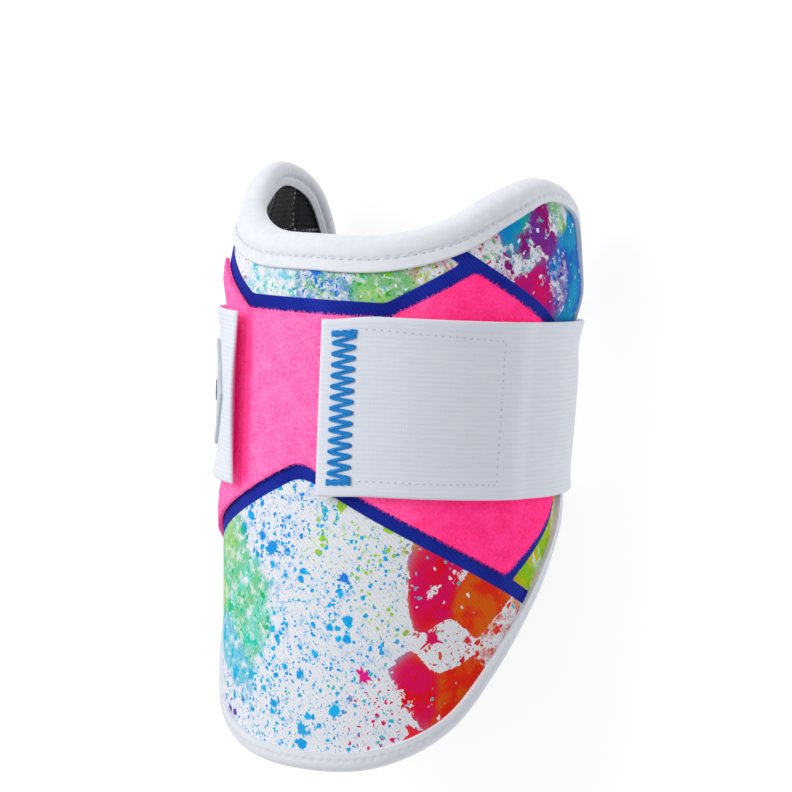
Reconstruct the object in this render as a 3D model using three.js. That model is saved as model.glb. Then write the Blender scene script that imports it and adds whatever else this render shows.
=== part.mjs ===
// A youth batter's elbow guard that lies on its back. A padded wall wraps most of the way round the arm, with
// two ears beside the dip at its upper end and a rounded lobe at its lower end. Its cut edge is bound all
// round, a loop panel covers the middle of its outside, and one elastic strap closes the ring.
// Millimetres. X runs across the guard, Y along the arm towards the ears, and Z up, out of the front.
// The origin is the middle of the strap's back face, on the surface that the guard lies on.
import * as THREE from "three";

// Padded wall
const wallRadius = 52.8; // outer face from the arm's axis, where it is fullest
const earRise = 67.4; // strap's middle to the tops of the ears
const lobeDrop = 104; // strap's middle to the tip of the lobe
const wrapAngle = 125; // middle of the front round to a back edge, in degrees
const shellThickness = 3.4; // stiff shell with the printed fabric on it
const liningThickness = 3.2; // soft inner layer
const touchGap = 0.4; // between pieces that lie on each other

// Edge binding
const tapeThickness = 1; // over the wall's two faces
const rollReach = 3.8; // beyond the wall's cut edge
const outerBand = 6.5; // flat band on the outside, at the dip
const innerBand = 4; // flat band on the inside
const cutEdgeGap = 1; // between the wall's cut edge and the tape round it

// Loop panel
const panelThickness = 1.1;

// Strap and its hook tabs
const strapWidth = 50;
const strapThickness = 1.5;
const strapPinch = 3.4; // how far the strap squeezes the wall in, at the back edges
const pinchFullAngle = 90; // the pinch grows from the middle of the front to here, in degrees
const pinchFade = 20; // length along the arm over which the pinch ends, at each edge of the strap
const hookThickness = 0.8;
const hookWidth = 44;
const frontEndAngle = 7.2; // where the stitched end lies, in degrees from the middle of the front
const frontHookLength = 55;
const frontHookInset = 1.5; // from the stitched end to its hook tab
const sideEndAngle = -27.3; // where the end with the badge lies
const sideHookLength = 52;
const sideHookInset = 5; // from the badge's end to its hook tab
const hookClearance = 1.5; // past a hook tab before the strap steps down
const endLift = 2.2; // the badge's end stands off the panel by this, at its middle
const endLiftLength = 20; // length of strap that lifts
const cornerLift = 0.8; // the same at that end's corners
const stepDownLength = 8; // from a hook tab's thickness down to the panel
const bendLength = 9; // strap's wall side and back side, each side of a back edge

// Badge
const badgeAcross = 30.8; // between its flat sides, along the arm
const badgeThickness = 1.1;
const badgeRim = 2.4; // width of the raised rim
const badgeRecess = 0.3; // face below the rim
const badgeBevel = 0.5;
const badgeBoss = 3.2; // radius of the raised button in the middle
const badgeTipInset = 11; // from the strap's end to the badge's near tip

const degrees = Math.PI / 180;

// The finished outline of the right half, from the middle of the dip round to the tip of the lobe.
// round: share of wrapAngle. along: share of earRise above the strap's middle, of lobeDrop below it.
// band: share of outerBand that the binding's outer band has there.
const OUTLINE = [
  { round: 0, along: 0.722, band: 1 },
  { round: 0.182, along: 0.731, band: 1 },
  { round: 0.34, along: 0.801, band: 0.95 },
  { round: 0.482, along: 0.918, band: 0.8 },
  { round: 0.655, along: 1, band: 0.45 },
  { round: 0.79, along: 0.969, band: 0.35 },
  { round: 0.893, along: 0.875, band: 0.3, corner: true },
  { round: 0.968, along: 0.668, band: 0.3 },
  { round: 1, along: 0.22, band: 0.3 },
  { round: 0.98, along: -0.144, band: 0.3 },
  { round: 0.833, along: -0.365, band: 0.25, corner: true },
  { round: 0.704, along: -0.534, band: 0.2 },
  { round: 0.585, along: -0.712, band: 0.2 },
  { round: 0.458, along: -0.88, band: 0.2 },
  { round: 0.262, along: -0.973, band: 0.2 },
  { round: 0, along: -1, band: 0.2 },
];

// The wall's girth. radius: share of wallRadius.
const GIRTH = [
  { along: -1, radius: 0.885 },
  { along: -0.81, radius: 0.917 },
  { along: -0.58, radius: 0.94 },
  { along: -0.25, radius: 0.97 },
  { along: 0, radius: 0.988 },
  { along: 0.4, radius: 1 },
  { along: 0.53, radius: 0.998 },
  { along: 0.72, radius: 0.96 },
  { along: 1, radius: 0.91 },
];

// The loop panel's right half, straight between rows. top and bottom: shares as in OUTLINE.
// steps: columns up to the next row.
const PANEL = [
  { round: 0, top: 0.386, bottom: -0.148, steps: 3 },
  { round: 0.212, top: 0.386, bottom: -0.262, steps: 3 },
  { round: 0.42, top: 0.59, bottom: -0.368, steps: 2 },
  { round: 0.563, top: 0.458, bottom: -0.439, steps: 4 },
  { round: 0.825, top: 0.237, bottom: -0.201, steps: 0 },
];

const lerp = THREE.MathUtils.lerp;
const smooth = (x) => THREE.MathUtils.smoothstep(x, 0, 1);
const alongArm = (share) => share * (share > 0 ? earRise : lobeDrop);
const roundArm = (share) => share * wrapAngle * degrees;
const wallThickness = shellThickness + touchGap + liningThickness;

// Radius of the wall's outer face at a place along the arm, on a smooth curve through GIRTH.
function girthAt(y) {
  const last = GIRTH.length - 1;
  const place = GIRTH.map((row) => alongArm(row.along));
  const radius = GIRTH.map((row) => row.radius * wallRadius);
  const k = THREE.MathUtils.clamp(place.findIndex((p) => p > y) - 1, 0, last - 1);
  const i = y >= place[last] ? last - 1 : k;
  const slope = (j) => {
    const a = Math.max(j - 1, 0);
    const b = Math.min(j + 1, last);
    return (radius[b] - radius[a]) / (place[b] - place[a]);
  };
  const span = place[i + 1] - place[i];
  const t = (y - place[i]) / span;
  const h = t * t * (3 - 2 * t);
  const start = slope(i) * span * t * (1 - t) * (1 - t);
  const end = slope(i + 1) * span * t * t * (t - 1);
  return radius[i] * (1 - h) + radius[i + 1] * h + start + end;
}

// The same under the strap too, where it squeezes the wall, at an angle round the arm.
function radiusAt(angle, y) {
  const past = (Math.abs(y) - strapWidth / 2) / pinchFade + 0.5;
  const round = Math.abs(angle) / (pinchFullAngle * degrees);
  return girthAt(y) - strapPinch * smooth(round) * (1 - smooth(past));
}

// The outline as a closed curve on the unrolled wall: x is the length round the arm at wallRadius, y along
// the arm, and z carries the band's share. It runs from the dip to the right, and is read by the share of its
// length.
const rightHalf = OUTLINE.map(
  (row) => new THREE.Vector3(roundArm(row.round) * wallRadius, alongArm(row.along), row.band),
);
const leftHalf = rightHalf
  .slice(1, -1)
  .reverse()
  .map((p) => new THREE.Vector3(-p.x, p.y, p.z));
const outline = new THREE.CatmullRomCurve3([...rightHalf, ...leftHalf], true, "centripetal");
const divisionsPerRow = 20;
outline.arcLengthDivisions = outline.points.length * divisionsPerRow;
const lengths = outline.getLengths();
const shareAt = (i) => lengths[i * divisionsPerRow] / lengths.at(-1);
const [earCorner, lobeCorner] = OUTLINE.flatMap((row, i) => (row.corner ? [shareAt(i)] : []));

// A place on the unrolled wall at a share of the outline's length, moved in from the outline by inset.
function edgePlace(share, inset) {
  const u = share - Math.floor(share);
  const p = outline.getPointAt(u);
  const tangent = outline.getTangentAt(u);
  const stretch = wallRadius / girthAt(p.y);
  const outward = new THREE.Vector2(-tangent.y, tangent.x / stretch).normalize();
  return { x: p.x - inset * outward.x * stretch, y: p.y - inset * outward.y, band: p.z };
}

// The point of the unrolled place x, y, at a distance out from the wall's outer face, about the arm's axis.
function aboutAxis(x, y, out) {
  const angle = x / wallRadius;
  const reach = radiusAt(angle, y) + out;
  return new THREE.Vector3(reach * Math.sin(angle), y, reach * Math.cos(angle));
}

// The binding's section at a share of the outline's length, as points about the arm's axis: the outer face
// over the roll to the inner band, then back inside along the wall.
function bindingSection(share) {
  const band = outerBand * edgePlace(share, 0).band;
  const face = touchGap + tapeThickness;
  const middle = -wallThickness / 2;
  const half = wallThickness / 2 + face;
  const bevel = tapeThickness / 2;
  const roll = [54, 18, -18, -54].map((angle) => ({
    beyond: rollReach * Math.cos(angle * degrees),
    out: middle + half * Math.sin(angle * degrees),
  }));
  const section = [
    { beyond: -band, out: touchGap },
    { beyond: -band, out: face - bevel },
    { beyond: bevel - band, out: face },
    { beyond: 0, out: face },
    ...roll,
    { beyond: 0, out: -wallThickness - face },
    { beyond: bevel - innerBand, out: -wallThickness - face },
    { beyond: -innerBand, out: bevel - wallThickness - face },
    { beyond: -innerBand, out: -wallThickness - touchGap },
    { beyond: cutEdgeGap, out: -wallThickness - touchGap },
    { beyond: cutEdgeGap, out: touchGap },
  ];
  return section.map(({ beyond, out }) => {
    const place = edgePlace(share, rollReach - beyond);
    return aboutAxis(place.x, place.y, out);
  });
}

const bindingSteps = 96;
const bindingRings = Array.from({ length: bindingSteps }, (_, i) => bindingSection(i / bindingSteps));

// The strap's back lies on the surface, just under the lowest point of the binding.
const lowestBinding = Math.min(...bindingRings.flat().map((p) => p.z));
const axisHeight = strapThickness + touchGap - lowestBinding;

// The same point in the part's own frame.
function wallPoint(x, y, out) {
  const p = aboutAxis(x, y, out);
  return p.setZ(p.z + axisHeight);
}

// A closed geometry from points and triangles of their numbers.
function solid(points, triangles) {
  const geometry = new THREE.BufferGeometry().setFromPoints(points);
  geometry.setIndex(triangles);
  geometry.computeVertexNormals();
  return geometry;
}

// A closed sheet with a thickness. place(i, j, out) is the point in column i, left to right, and row j,
// bottom to top, on the outer face where out is true and on the inner face where it is false. The left half's
// facets mirror the right half's.
function thickSheet(columns, rows, place) {
  const points = [];
  const triangles = [];
  const count = (columns + 1) * (rows + 1);
  for (const out of [true, false]) {
    for (let i = 0; i <= columns; i++) {
      for (let j = 0; j <= rows; j++) points.push(place(i, j, out));
    }
  }
  const outer = (i, j) => i * (rows + 1) + j;
  const inner = (i, j) => count + outer(i, j);
  const quad = (a, b, c, d) => triangles.push(a, b, c, a, c, d);
  for (let i = 0; i < columns; i++) {
    const leftHalf = i < columns / 2;
    for (let j = 0; j < rows; j++) {
      const front = [outer(i, j), outer(i + 1, j), outer(i + 1, j + 1), outer(i, j + 1)];
      const back = [inner(i, j), inner(i, j + 1), inner(i + 1, j + 1), inner(i + 1, j)];
      for (const [a, b, c, d] of [front, back]) {
        if (leftHalf) quad(b, c, d, a);
        else quad(a, b, c, d);
      }
    }
    quad(inner(i, 0), inner(i + 1, 0), outer(i + 1, 0), outer(i, 0));
    quad(outer(i, rows), outer(i + 1, rows), inner(i + 1, rows), inner(i, rows));
  }
  for (let j = 0; j < rows; j++) {
    quad(inner(0, j + 1), inner(0, j), outer(0, j), outer(0, j + 1));
    quad(inner(columns, j), inner(columns, j + 1), outer(columns, j + 1), outer(columns, j));
  }
  return solid(points, triangles);
}

// A layer of the wall between two distances out, on a grid whose four sides run along the cut edge and whose
// corners are the rows of OUTLINE marked corner.
function wallLayer(outFace, inFace) {
  const columns = 28;
  const rows = 22;
  const cut = (from, to) => (k) => edgePlace(lerp(from, to, k), rollReach);
  const top = cut(-earCorner, earCorner);
  const bottom = cut(1 - lobeCorner, lobeCorner);
  const left = cut(1 - lobeCorner, 1 - earCorner);
  const right = cut(lobeCorner, earCorner);
  return thickSheet(columns, rows, (i, j, out) => {
    const u = i / columns;
    const v = j / rows;
    const between = (key) => {
      const sides = lerp(bottom(u)[key], top(u)[key], v) + lerp(left(v)[key], right(v)[key], u);
      const low = lerp(left(0)[key], right(0)[key], u);
      const high = lerp(left(1)[key], right(1)[key], u);
      return sides - lerp(low, high, v);
    };
    return wallPoint(between("x"), between("y"), out ? outFace : inFace);
  });
}

// A closed tube through rings of points, joined end to end.
function ringTube(rings) {
  const around = rings[0].length;
  const triangles = [];
  rings.forEach((_, i) => {
    const a = i * around;
    const b = ((i + 1) % rings.length) * around;
    for (let k = 0; k < around; k++) {
      const n = (k + 1) % around;
      triangles.push(a + k, b + k, b + n, a + k, b + n, a + n);
    }
  });
  return solid(rings.flat(), triangles);
}

function binding() {
  return ringTube(bindingRings.map((ring) => ring.map((p) => p.clone().setZ(p.z + axisHeight))));
}

function loopPanel() {
  const half = PANEL.flatMap((row, i) => {
    const next = PANEL[i + 1] ?? row;
    return Array.from({ length: row.steps || 1 }, (_, k) => {
      const t = k / (row.steps || 1);
      return {
        x: roundArm(lerp(row.round, next.round, t)) * wallRadius,
        top: lerp(alongArm(row.top), alongArm(next.top), t),
        bottom: lerp(alongArm(row.bottom), alongArm(next.bottom), t),
      };
    });
  });
  const mirrored = half
    .slice(1)
    .reverse()
    .map((column) => ({ ...column, x: -column.x }));
  const columns = [...mirrored, ...half];
  const rows = 13;
  return thickSheet(columns.length - 1, rows, (i, j, out) => {
    const { x, top, bottom } = columns[i];
    return wallPoint(x, lerp(bottom, top, j / rows), touchGap + (out ? panelThickness : 0));
  });
}

// How far the strap's inner face lies out from the wall at an angle round the arm, at a place across its
// width. It is down on the panel, steps up over the hook tabs, and lifts at the end with the badge.
const strapRadius = girthAt(0) + touchGap + panelThickness;
const onPanel = touchGap + panelThickness + touchGap;
const onHook = onPanel + hookThickness + touchGap;
const lengthFrom = (angle, end) => Math.abs(angle - end * degrees) * strapRadius;
function strapSeat(angle, y) {
  const front = angle > (frontEndAngle + sideEndAngle) * 0.5 * degrees;
  const past = front
    ? lengthFrom(angle, frontEndAngle) - frontHookInset - frontHookLength
    : lengthFrom(angle, sideEndAngle) - sideHookInset - sideHookLength;
  const seat = lerp(onHook, onPanel, smooth((past - hookClearance) / stepDownLength));
  if (front) return seat;
  const near = 1 - lengthFrom(angle, sideEndAngle) / endLiftLength;
  const across = Math.min(1, Math.abs(y) / (strapWidth / 2)) ** 2;
  return seat + lerp(endLift, cornerLift, across) * Math.max(0, near) ** 2;
}

// Where the strap leaves the wall for the flat stretch across the back: bendLength before the back edge.
const backEdgeAngle = Math.max(...bindingRings.flat().map((p) => Math.abs(Math.atan2(p.x, p.z))));
const leaveAngle = backEdgeAngle - (bendLength + rollReach) / strapRadius;

// The strap's line at a place y across its width: points of its inner face with their outward directions,
// from the stitched end round the back to the end with the badge.
function strapLine(y) {
  const onWall = (angle) => {
    const out = new THREE.Vector3(Math.sin(angle), 0, Math.cos(angle));
    const reach = radiusAt(angle, y) + strapSeat(angle, y);
    return { point: out.clone().multiplyScalar(reach).add(new THREE.Vector3(0, y, axisHeight)), out };
  };
  const leave = onWall(leaveAngle);
  const down = new THREE.Vector3(Math.cos(leaveAngle), 0, -Math.sin(leaveAngle));
  const toFlat = (strapThickness - leave.point.z) / down.z;
  const knee = leave.point.clone().addScaledVector(down, toFlat);
  const landing = knee.clone().setX(knee.x - toFlat);
  const bend = new THREE.CubicBezierCurve3(leave.point, knee, knee, landing);
  const bendSteps = 6;
  const flatSteps = 8;
  const bendPoints = Array.from({ length: bendSteps }, (_, i) => {
    const t = (i + 1) / bendSteps;
    const tangent = bend.getTangent(t);
    return { point: bend.getPoint(t), out: new THREE.Vector3(-tangent.z, 0, tangent.x) };
  });
  const flip = ({ point, out }) => ({
    point: new THREE.Vector3(-point.x, point.y, point.z),
    out: new THREE.Vector3(-out.x, out.y, out.z),
  });
  const flat = Array.from({ length: flatSteps - 1 }, (_, i) => ({
    point: new THREE.Vector3(lerp(landing.x, -landing.x, (i + 1) / flatSteps), y, strapThickness),
    out: new THREE.Vector3(0, 0, -1),
  }));
  const arc = (from, to, steps) => {
    return Array.from({ length: steps + 1 }, (_, i) => onWall(lerp(from, to, i / steps)));
  };
  return [
    ...arc(frontEndAngle * degrees, leaveAngle, 20),
    ...bendPoints,
    ...flat,
    ...bendPoints.map(flip).reverse(),
    ...arc(-leaveAngle, sideEndAngle * degrees, 18),
  ];
}

// Rows across the strap and its hook tabs, one along each side of the badge, so that they lie flat together.
function rowsAcross(width) {
  const badgeEdge = badgeAcross / 2 + touchGap;
  return [-width / 2, -badgeEdge, 0, badgeEdge, width / 2];
}

function strap() {
  const lines = rowsAcross(strapWidth).map(strapLine);
  return thickSheet(lines[0].length - 1, lines.length - 1, (i, j, out) => {
    const { point, out: outward } = lines[j][i];
    return point.clone().addScaledVector(outward, out ? strapThickness : 0);
  });
}

// A hook tab under the strap between two angles, its outer face a gap below the strap.
function hookTab(from, to) {
  const columns = 12;
  const rows = rowsAcross(hookWidth);
  return thickSheet(columns, rows.length - 1, (i, j, out) => {
    const angle = lerp(from, to, i / columns);
    const y = rows[j];
    const under = strapSeat(angle, y) - touchGap - (out ? 0 : hookThickness);
    return wallPoint(angle * wallRadius, y, under);
  });
}

function frontHookTab() {
  const from = frontEndAngle * degrees + frontHookInset / strapRadius;
  return hookTab(from, from + frontHookLength / strapRadius);
}

function sideHookTab() {
  const to = sideEndAngle * degrees - sideHookInset / strapRadius;
  return hookTab(to - sideHookLength / strapRadius, to);
}

// The badge on the strap's end: a hexagon with its tips round the arm, a raised rim and a middle button.
function badge() {
  const tip = badgeAcross / Math.sqrt(3);
  const centre = sideEndAngle * degrees - (badgeTipInset + tip) / strapRadius;
  const perSide = 4;
  const corners = Array.from({ length: 6 }, (_, k) => {
    const turn = (k * Math.PI) / 3;
    return new THREE.Vector2(tip * Math.cos(turn), tip * Math.sin(turn));
  });
  const hexagon = corners.flatMap((a, k) => {
    const b = corners[(k + 1) % corners.length];
    return Array.from({ length: perSide }, (_, i) => a.clone().lerp(b, i / perSide));
  });
  const circle = hexagon.map((p) => p.clone().normalize());
  const place = (p, height) => {
    const angle = centre + p.x / strapRadius;
    return wallPoint(angle * wallRadius, p.y, strapSeat(angle, p.y) + strapThickness + touchGap + height);
  };
  const shrunk = (by, height) => {
    return hexagon.map((p) => place(p.clone().multiplyScalar(1 - by / (badgeAcross / 2)), height));
  };
  const disc = (radius, height) => circle.map((p) => place(p.clone().multiplyScalar(radius), height));
  const face = badgeThickness - badgeRecess;
  const middle = (height) => place(new THREE.Vector2(), height);
  const rings = [
    disc(badgeBoss / 2, 0),
    disc(badgeBoss * 2, 0),
    shrunk(0, 0),
    shrunk(0, badgeThickness - badgeBevel),
    shrunk(badgeBevel, badgeThickness),
    shrunk(badgeRim, badgeThickness),
    shrunk(badgeRim + badgeRecess, face),
    disc(badgeBoss * 2, face),
    disc(badgeBoss, face),
    disc(badgeBoss - badgeRecess / 2, badgeThickness),
  ];
  const around = hexagon.length;
  const points = [...rings.flat(), middle(0), middle(badgeThickness)];
  const bottomMiddle = points.length - 2;
  const topMiddle = points.length - 1;
  const triangles = [];
  for (let k = 0; k < around; k++) {
    const n = (k + 1) % around;
    const last = (rings.length - 1) * around;
    triangles.push(bottomMiddle, n, k, topMiddle, last + k, last + n);
    for (let r = 0; r < rings.length - 1; r++) {
      const a = r * around;
      const b = a + around;
      triangles.push(a + k, a + n, b + n, a + k, b + n, b + k);
    }
  }
  return solid(points, triangles);
}

function piece(name, geometry, color, roughness) {
  const mesh = new THREE.Mesh(geometry, new THREE.MeshStandardMaterial({ color, roughness, metalness: 0 }));
  mesh.name = name;
  return mesh;
}

const guard = new THREE.Group();
guard.add(
  piece("padded_shell", wallLayer(0, -shellThickness), 0xe8e9ee, 0.8),
  piece("lining", wallLayer(-shellThickness - touchGap, -wallThickness), 0x17171b, 0.9),
  piece("edge_binding", binding(), 0xf1f2f5, 0.6),
  piece("loop_panel", loopPanel(), 0xf92a8d, 1),
  piece("strap", strap(), 0xe6e9f0, 0.85),
  piece("front_hook_tab", frontHookTab(), 0xe9e9ea, 0.9),
  piece("side_hook_tab", sideHookTab(), 0xe9e9ea, 0.9),
  piece("badge", badge(), 0xc3ccd1, 0.45),
);

export default guard;
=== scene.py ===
# %% [markdown]
# # A youth batter's elbow guard
# The real guard is a stiff, padded cuff that an elastic strap closes round the arm. It lies here on
# the strap's flat back, front upwards. A scene like this could be modelled by hand in Blender's
# window. It is a script instead, so that each piece can be read, measured and made again. The
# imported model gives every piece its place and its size, and this lesson makes each piece again as a
# fine mesh with the finish of its cloth, tape or rubber.

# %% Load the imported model
import math

import bpy
import numpy as np
from mathutils import Matrix, Vector


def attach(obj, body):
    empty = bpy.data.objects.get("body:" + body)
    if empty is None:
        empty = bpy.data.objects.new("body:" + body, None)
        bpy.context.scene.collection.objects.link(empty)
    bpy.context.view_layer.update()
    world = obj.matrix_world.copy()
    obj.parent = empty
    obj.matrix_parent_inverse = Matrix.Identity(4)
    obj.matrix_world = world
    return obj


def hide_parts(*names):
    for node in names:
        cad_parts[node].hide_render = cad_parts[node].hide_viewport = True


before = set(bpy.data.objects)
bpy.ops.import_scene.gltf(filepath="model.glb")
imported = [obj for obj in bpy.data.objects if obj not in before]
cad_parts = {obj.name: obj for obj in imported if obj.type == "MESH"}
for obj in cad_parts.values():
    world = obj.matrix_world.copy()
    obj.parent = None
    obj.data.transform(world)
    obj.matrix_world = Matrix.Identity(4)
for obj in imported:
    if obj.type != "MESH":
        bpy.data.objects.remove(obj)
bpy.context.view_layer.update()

# %% [markdown]
# The guard was cut flat and moulded round a forearm. Its shape could be sculpted, but it is easier
# to state in the way it was made: an outline on an unrolled sheet, and the girth that the sheet is
# rolled to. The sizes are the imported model's own, and only the soft edges are drawn a little closer
# to the real ones. Lengths are in millimetres here, which suit a thing of this size, and make_piece
# turns them into Blender's metres.

# %% The sizes of the real guard
MM = 0.001
wall_radius = 52.8
ear_rise = 67.4
lobe_drop = 104
wrap_angle = math.radians(125)
shell_thickness = 3.4
lining_thickness = 3.2
touch_gap = 0.4
wall_thickness = shell_thickness + touch_gap + lining_thickness

tape_thickness = 1
roll_reach = 3.8
outer_band = 6.5
inner_band = 3.4
cut_edge_gap = 1

panel_thickness = 1.1

strap_width = 50
strap_thickness = 1.5
strap_pinch = 3.4
pinch_full_angle = math.radians(90)
pinch_fade = 20
hook_thickness = 0.8
hook_width = 44
front_end_angle = math.radians(7.2)
front_hook_length = 55
front_hook_inset = 1.5
side_end_angle = math.radians(-27.3)
side_hook_length = 52
side_hook_inset = 5
hook_clearance = 1.5
end_lift = 2.2
end_lift_length = 20
corner_lift = 0.8
step_down_length = 8
bend_length = 9

badge_across = 30.8
badge_thickness = 1.1
badge_tip_inset = 11

# Right half of the outline, from the dip round to the lobe's tip: share of the wrap angle, share of the
# ear's rise or the lobe's drop, and share of the outer band's width.
OUTLINE = [
    (0, 0.722, 1),
    (0.182, 0.731, 1),
    (0.34, 0.801, 0.95),
    (0.482, 0.918, 0.8),
    (0.655, 1, 0.45),
    (0.79, 0.969, 0.35),
    (0.893, 0.875, 0.2),
    (0.968, 0.668, 0.12),
    (1, 0.22, 0.12),
    (0.98, -0.144, 0.3),
    (0.833, -0.365, 0.25),
    (0.704, -0.534, 0.2),
    (0.58, -0.712, 0.2),
    (0.445, -0.88, 0.25),
    (0.25, -0.984, 0.35),
    (0, -1.012, 0.38),
]
EAR_CORNER_ROW = 6
LOBE_CORNER_ROW = 10

# The wall's girth: place along the arm, and share of the wall's radius.
GIRTH = [
    (-1, 0.885),
    (-0.81, 0.917),
    (-0.58, 0.94),
    (-0.25, 0.97),
    (0, 0.988),
    (0.4, 1),
    (0.53, 0.998),
    (0.72, 0.96),
    (1, 0.91),
]

# Right half of the loop panel: share of the wrap angle, and the shares along the arm of its top and
# bottom.
PANEL = [
    (0, 0.386, -0.148),
    (0.212, 0.386, -0.262),
    (0.42, 0.59, -0.368),
    (0.563, 0.458, -0.439),
    (0.825, 0.237, -0.201),
]
print("outline has", len(OUTLINE), "rows, girth", len(GIRTH), "and loop panel", len(PANEL))

# %% [markdown]
# Every layer has to follow the same curved wall. A Shrinkwrap or a Lattice modifier could bend flat
# pieces round it. A few small functions are used instead, because they turn a place on the unrolled
# sheet straight into a point in space, for any layer at any depth. The girth is a smooth curve
# through its table, and under the strap the padding is squeezed in, more and more towards the back
# edges.

# %% From the unrolled sheet to the guard
def lerp(a, b, t):
    return a + (b - a) * t


def smooth(t):
    t = np.clip(t, 0, 1)
    return t * t * (3 - 2 * t)


def along_arm(share):
    return share * np.where(np.asarray(share) > 0, ear_rise, lobe_drop)


GIRTH_PLACE = np.array([float(along_arm(row[0])) for row in GIRTH])
GIRTH_RADIUS = np.array([row[1] * wall_radius for row in GIRTH])


def girth_at(y):
    y = np.asarray(y, float)
    last = len(GIRTH) - 1
    i = np.clip(np.searchsorted(GIRTH_PLACE, y, side="right") - 1, 0, last - 1)
    before = np.maximum(np.arange(last + 1) - 1, 0)
    after = np.minimum(np.arange(last + 1) + 1, last)
    slope = (GIRTH_RADIUS[after] - GIRTH_RADIUS[before]) / (GIRTH_PLACE[after] - GIRTH_PLACE[before])
    span = GIRTH_PLACE[i + 1] - GIRTH_PLACE[i]
    t = (y - GIRTH_PLACE[i]) / span
    h = t * t * (3 - 2 * t)
    start = slope[i] * span * t * (1 - t) ** 2
    end = slope[i + 1] * span * t * t * (t - 1)
    return GIRTH_RADIUS[i] * (1 - h) + GIRTH_RADIUS[i + 1] * h + start + end


# The real guard isn't quite even. Soft hollows at its sides: degrees round the arm, millimetres along it,
# reach in each of the two directions, and depth.
HOLLOWS = [
    (-42, 8, 15, 22, 1),
    (-60, 62, 25, 10, 1.8),
    (126, 38, 7.5, 24, 2.4),
    (98, 24, 14, 9, 1),
    (108, -36, 14, 13, 1.3),
]


def radius_at(angle, y):
    past = (np.abs(y) - strap_width / 2) / pinch_fade + 0.5
    radius = girth_at(y) - strap_pinch * smooth(np.abs(angle) / pinch_full_angle) * (1 - smooth(past))
    for around, along, round_reach, long_reach, depth in HOLLOWS:
        away = ((np.degrees(angle) - around) / round_reach) ** 2 + (np.abs(y - along) / long_reach) ** 4
        radius = radius - depth * np.exp(-away / 2)
    return radius


top_point = max((v.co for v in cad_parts["padded_shell"].data.vertices), key=lambda co: co.z)
axis_height = top_point.z / MM - float(girth_at(top_point.y / MM))


# The left ear is flexed out and up, and squeezed thinner. Each grows from a start over a reach: lengths
# round the arm to the left, and along it.
ear_flex_out = 0.4
ear_flex_up = 2.4
ear_flex_start, ear_flex_reach = (58, 30), (40, 28)
ear_squeeze = 0.32
ear_squeeze_start, ear_squeeze_reach = (22, 30), (30, 24)


def on_left_ear(x, y, start, reach):
    return smooth((-x - start[0]) / reach[0]) * smooth((y - start[1]) / reach[1])


def wall_point(x, y, out):
    """The point of the unrolled place x, y, at a distance out from the wall's outer face."""
    x, y, out = np.broadcast_arrays(x, y, out)
    flex = on_left_ear(x, y, ear_flex_start, ear_flex_reach)
    squeezed = ear_squeeze * on_left_ear(x, y, ear_squeeze_start, ear_squeeze_reach)
    out = np.where(out < 0, out * (1 - squeezed), out) + ear_flex_out * flex
    y = y + ear_flex_up * flex
    angle = x / wall_radius
    reach = radius_at(angle, y) + out
    return np.stack([reach * np.sin(angle), y, axis_height + reach * np.cos(angle)], -1)


print("arm's axis above the floor, mm:", round(axis_height, 2))

# %% [markdown]
# The cut edge runs in one closed curve from the dip over the ears to the rounded lobe. A Bezier
# curve could hold it, but its handles would be many more numbers. Here it is a smooth curve through
# a short table, with the left half mirrored. It is sampled once, at equal lengths, so that anything
# can ask for the place at a share of the way round, moved in from the edge by an inset.

# %% The outline
OUTLINE_SAMPLES = 4000
PER_SPAN = 60


def closed_curve(points, per_span):
    """A centripetal Catmull-Rom curve through points."""
    t = np.linspace(0, 1, per_span, endpoint=False)[:, None]
    samples = []
    for i in range(len(points)):
        p0, p1, p2, p3 = (points[(i + k) % len(points)] for k in (-1, 0, 1, 2))
        d0, d1, d2 = (np.linalg.norm(b - a) ** 0.5 for a, b in ((p0, p1), (p1, p2), (p2, p3)))
        m1 = ((p1 - p0) / d0 - (p2 - p0) / (d0 + d1) + (p2 - p1) / d1) * d1
        m2 = ((p2 - p1) / d1 - (p3 - p1) / (d1 + d2) + (p3 - p2) / d2) * d1
        square = 3 * (p2 - p1) - 2 * m1 - m2
        cube = 2 * (p1 - p2) + m1 + m2
        samples.append(p1 + m1 * t + square * t**2 + cube * t**3)
    return np.concatenate(samples)


def round_arm(share):
    return share * wrap_angle * wall_radius


right_half = [np.array([round_arm(share), float(along_arm(along)), band]) for share, along, band in OUTLINE]
left_half = [point * (-1, 1, 1) for point in right_half[-2:0:-1]]
curve = closed_curve(right_half + left_half, PER_SPAN)
curve = np.vstack([curve, curve[:1]])
length = np.concatenate([[0], np.cumsum(np.linalg.norm(np.diff(curve[:, :2], axis=0), axis=1))])
outline_length = float(length[-1])
share_at = length / outline_length
ear_corner = share_at[EAR_CORNER_ROW * PER_SPAN]
lobe_corner = share_at[LOBE_CORNER_ROW * PER_SPAN]
even_share = np.linspace(0, 1, OUTLINE_SAMPLES + 1)
outline = np.stack([np.interp(even_share, share_at, curve[:, k]) for k in range(3)], -1)
tangent = np.roll(outline[:-1, :2], -2, axis=0) - np.roll(outline[:-1, :2], 2, axis=0)
tangent = np.vstack([tangent, tangent[:1]])
tangent /= np.linalg.norm(tangent, axis=1)[:, None]


def edge_place(share, inset):
    """The unrolled place and the band's share, at a share of the outline, moved in by inset."""
    u = np.mod(share, 1.0)
    x, y, band = (np.interp(u, even_share, outline[:, k]) for k in range(3))
    tx, ty = (np.interp(u, even_share, tangent[:, k]) for k in range(2))
    stretch = wall_radius / girth_at(y)
    size = np.hypot(ty, tx / stretch)
    return x + inset * ty / size * stretch, y - inset * tx / stretch / size, band


print("bound edge, mm:", round(outline_length))

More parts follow.
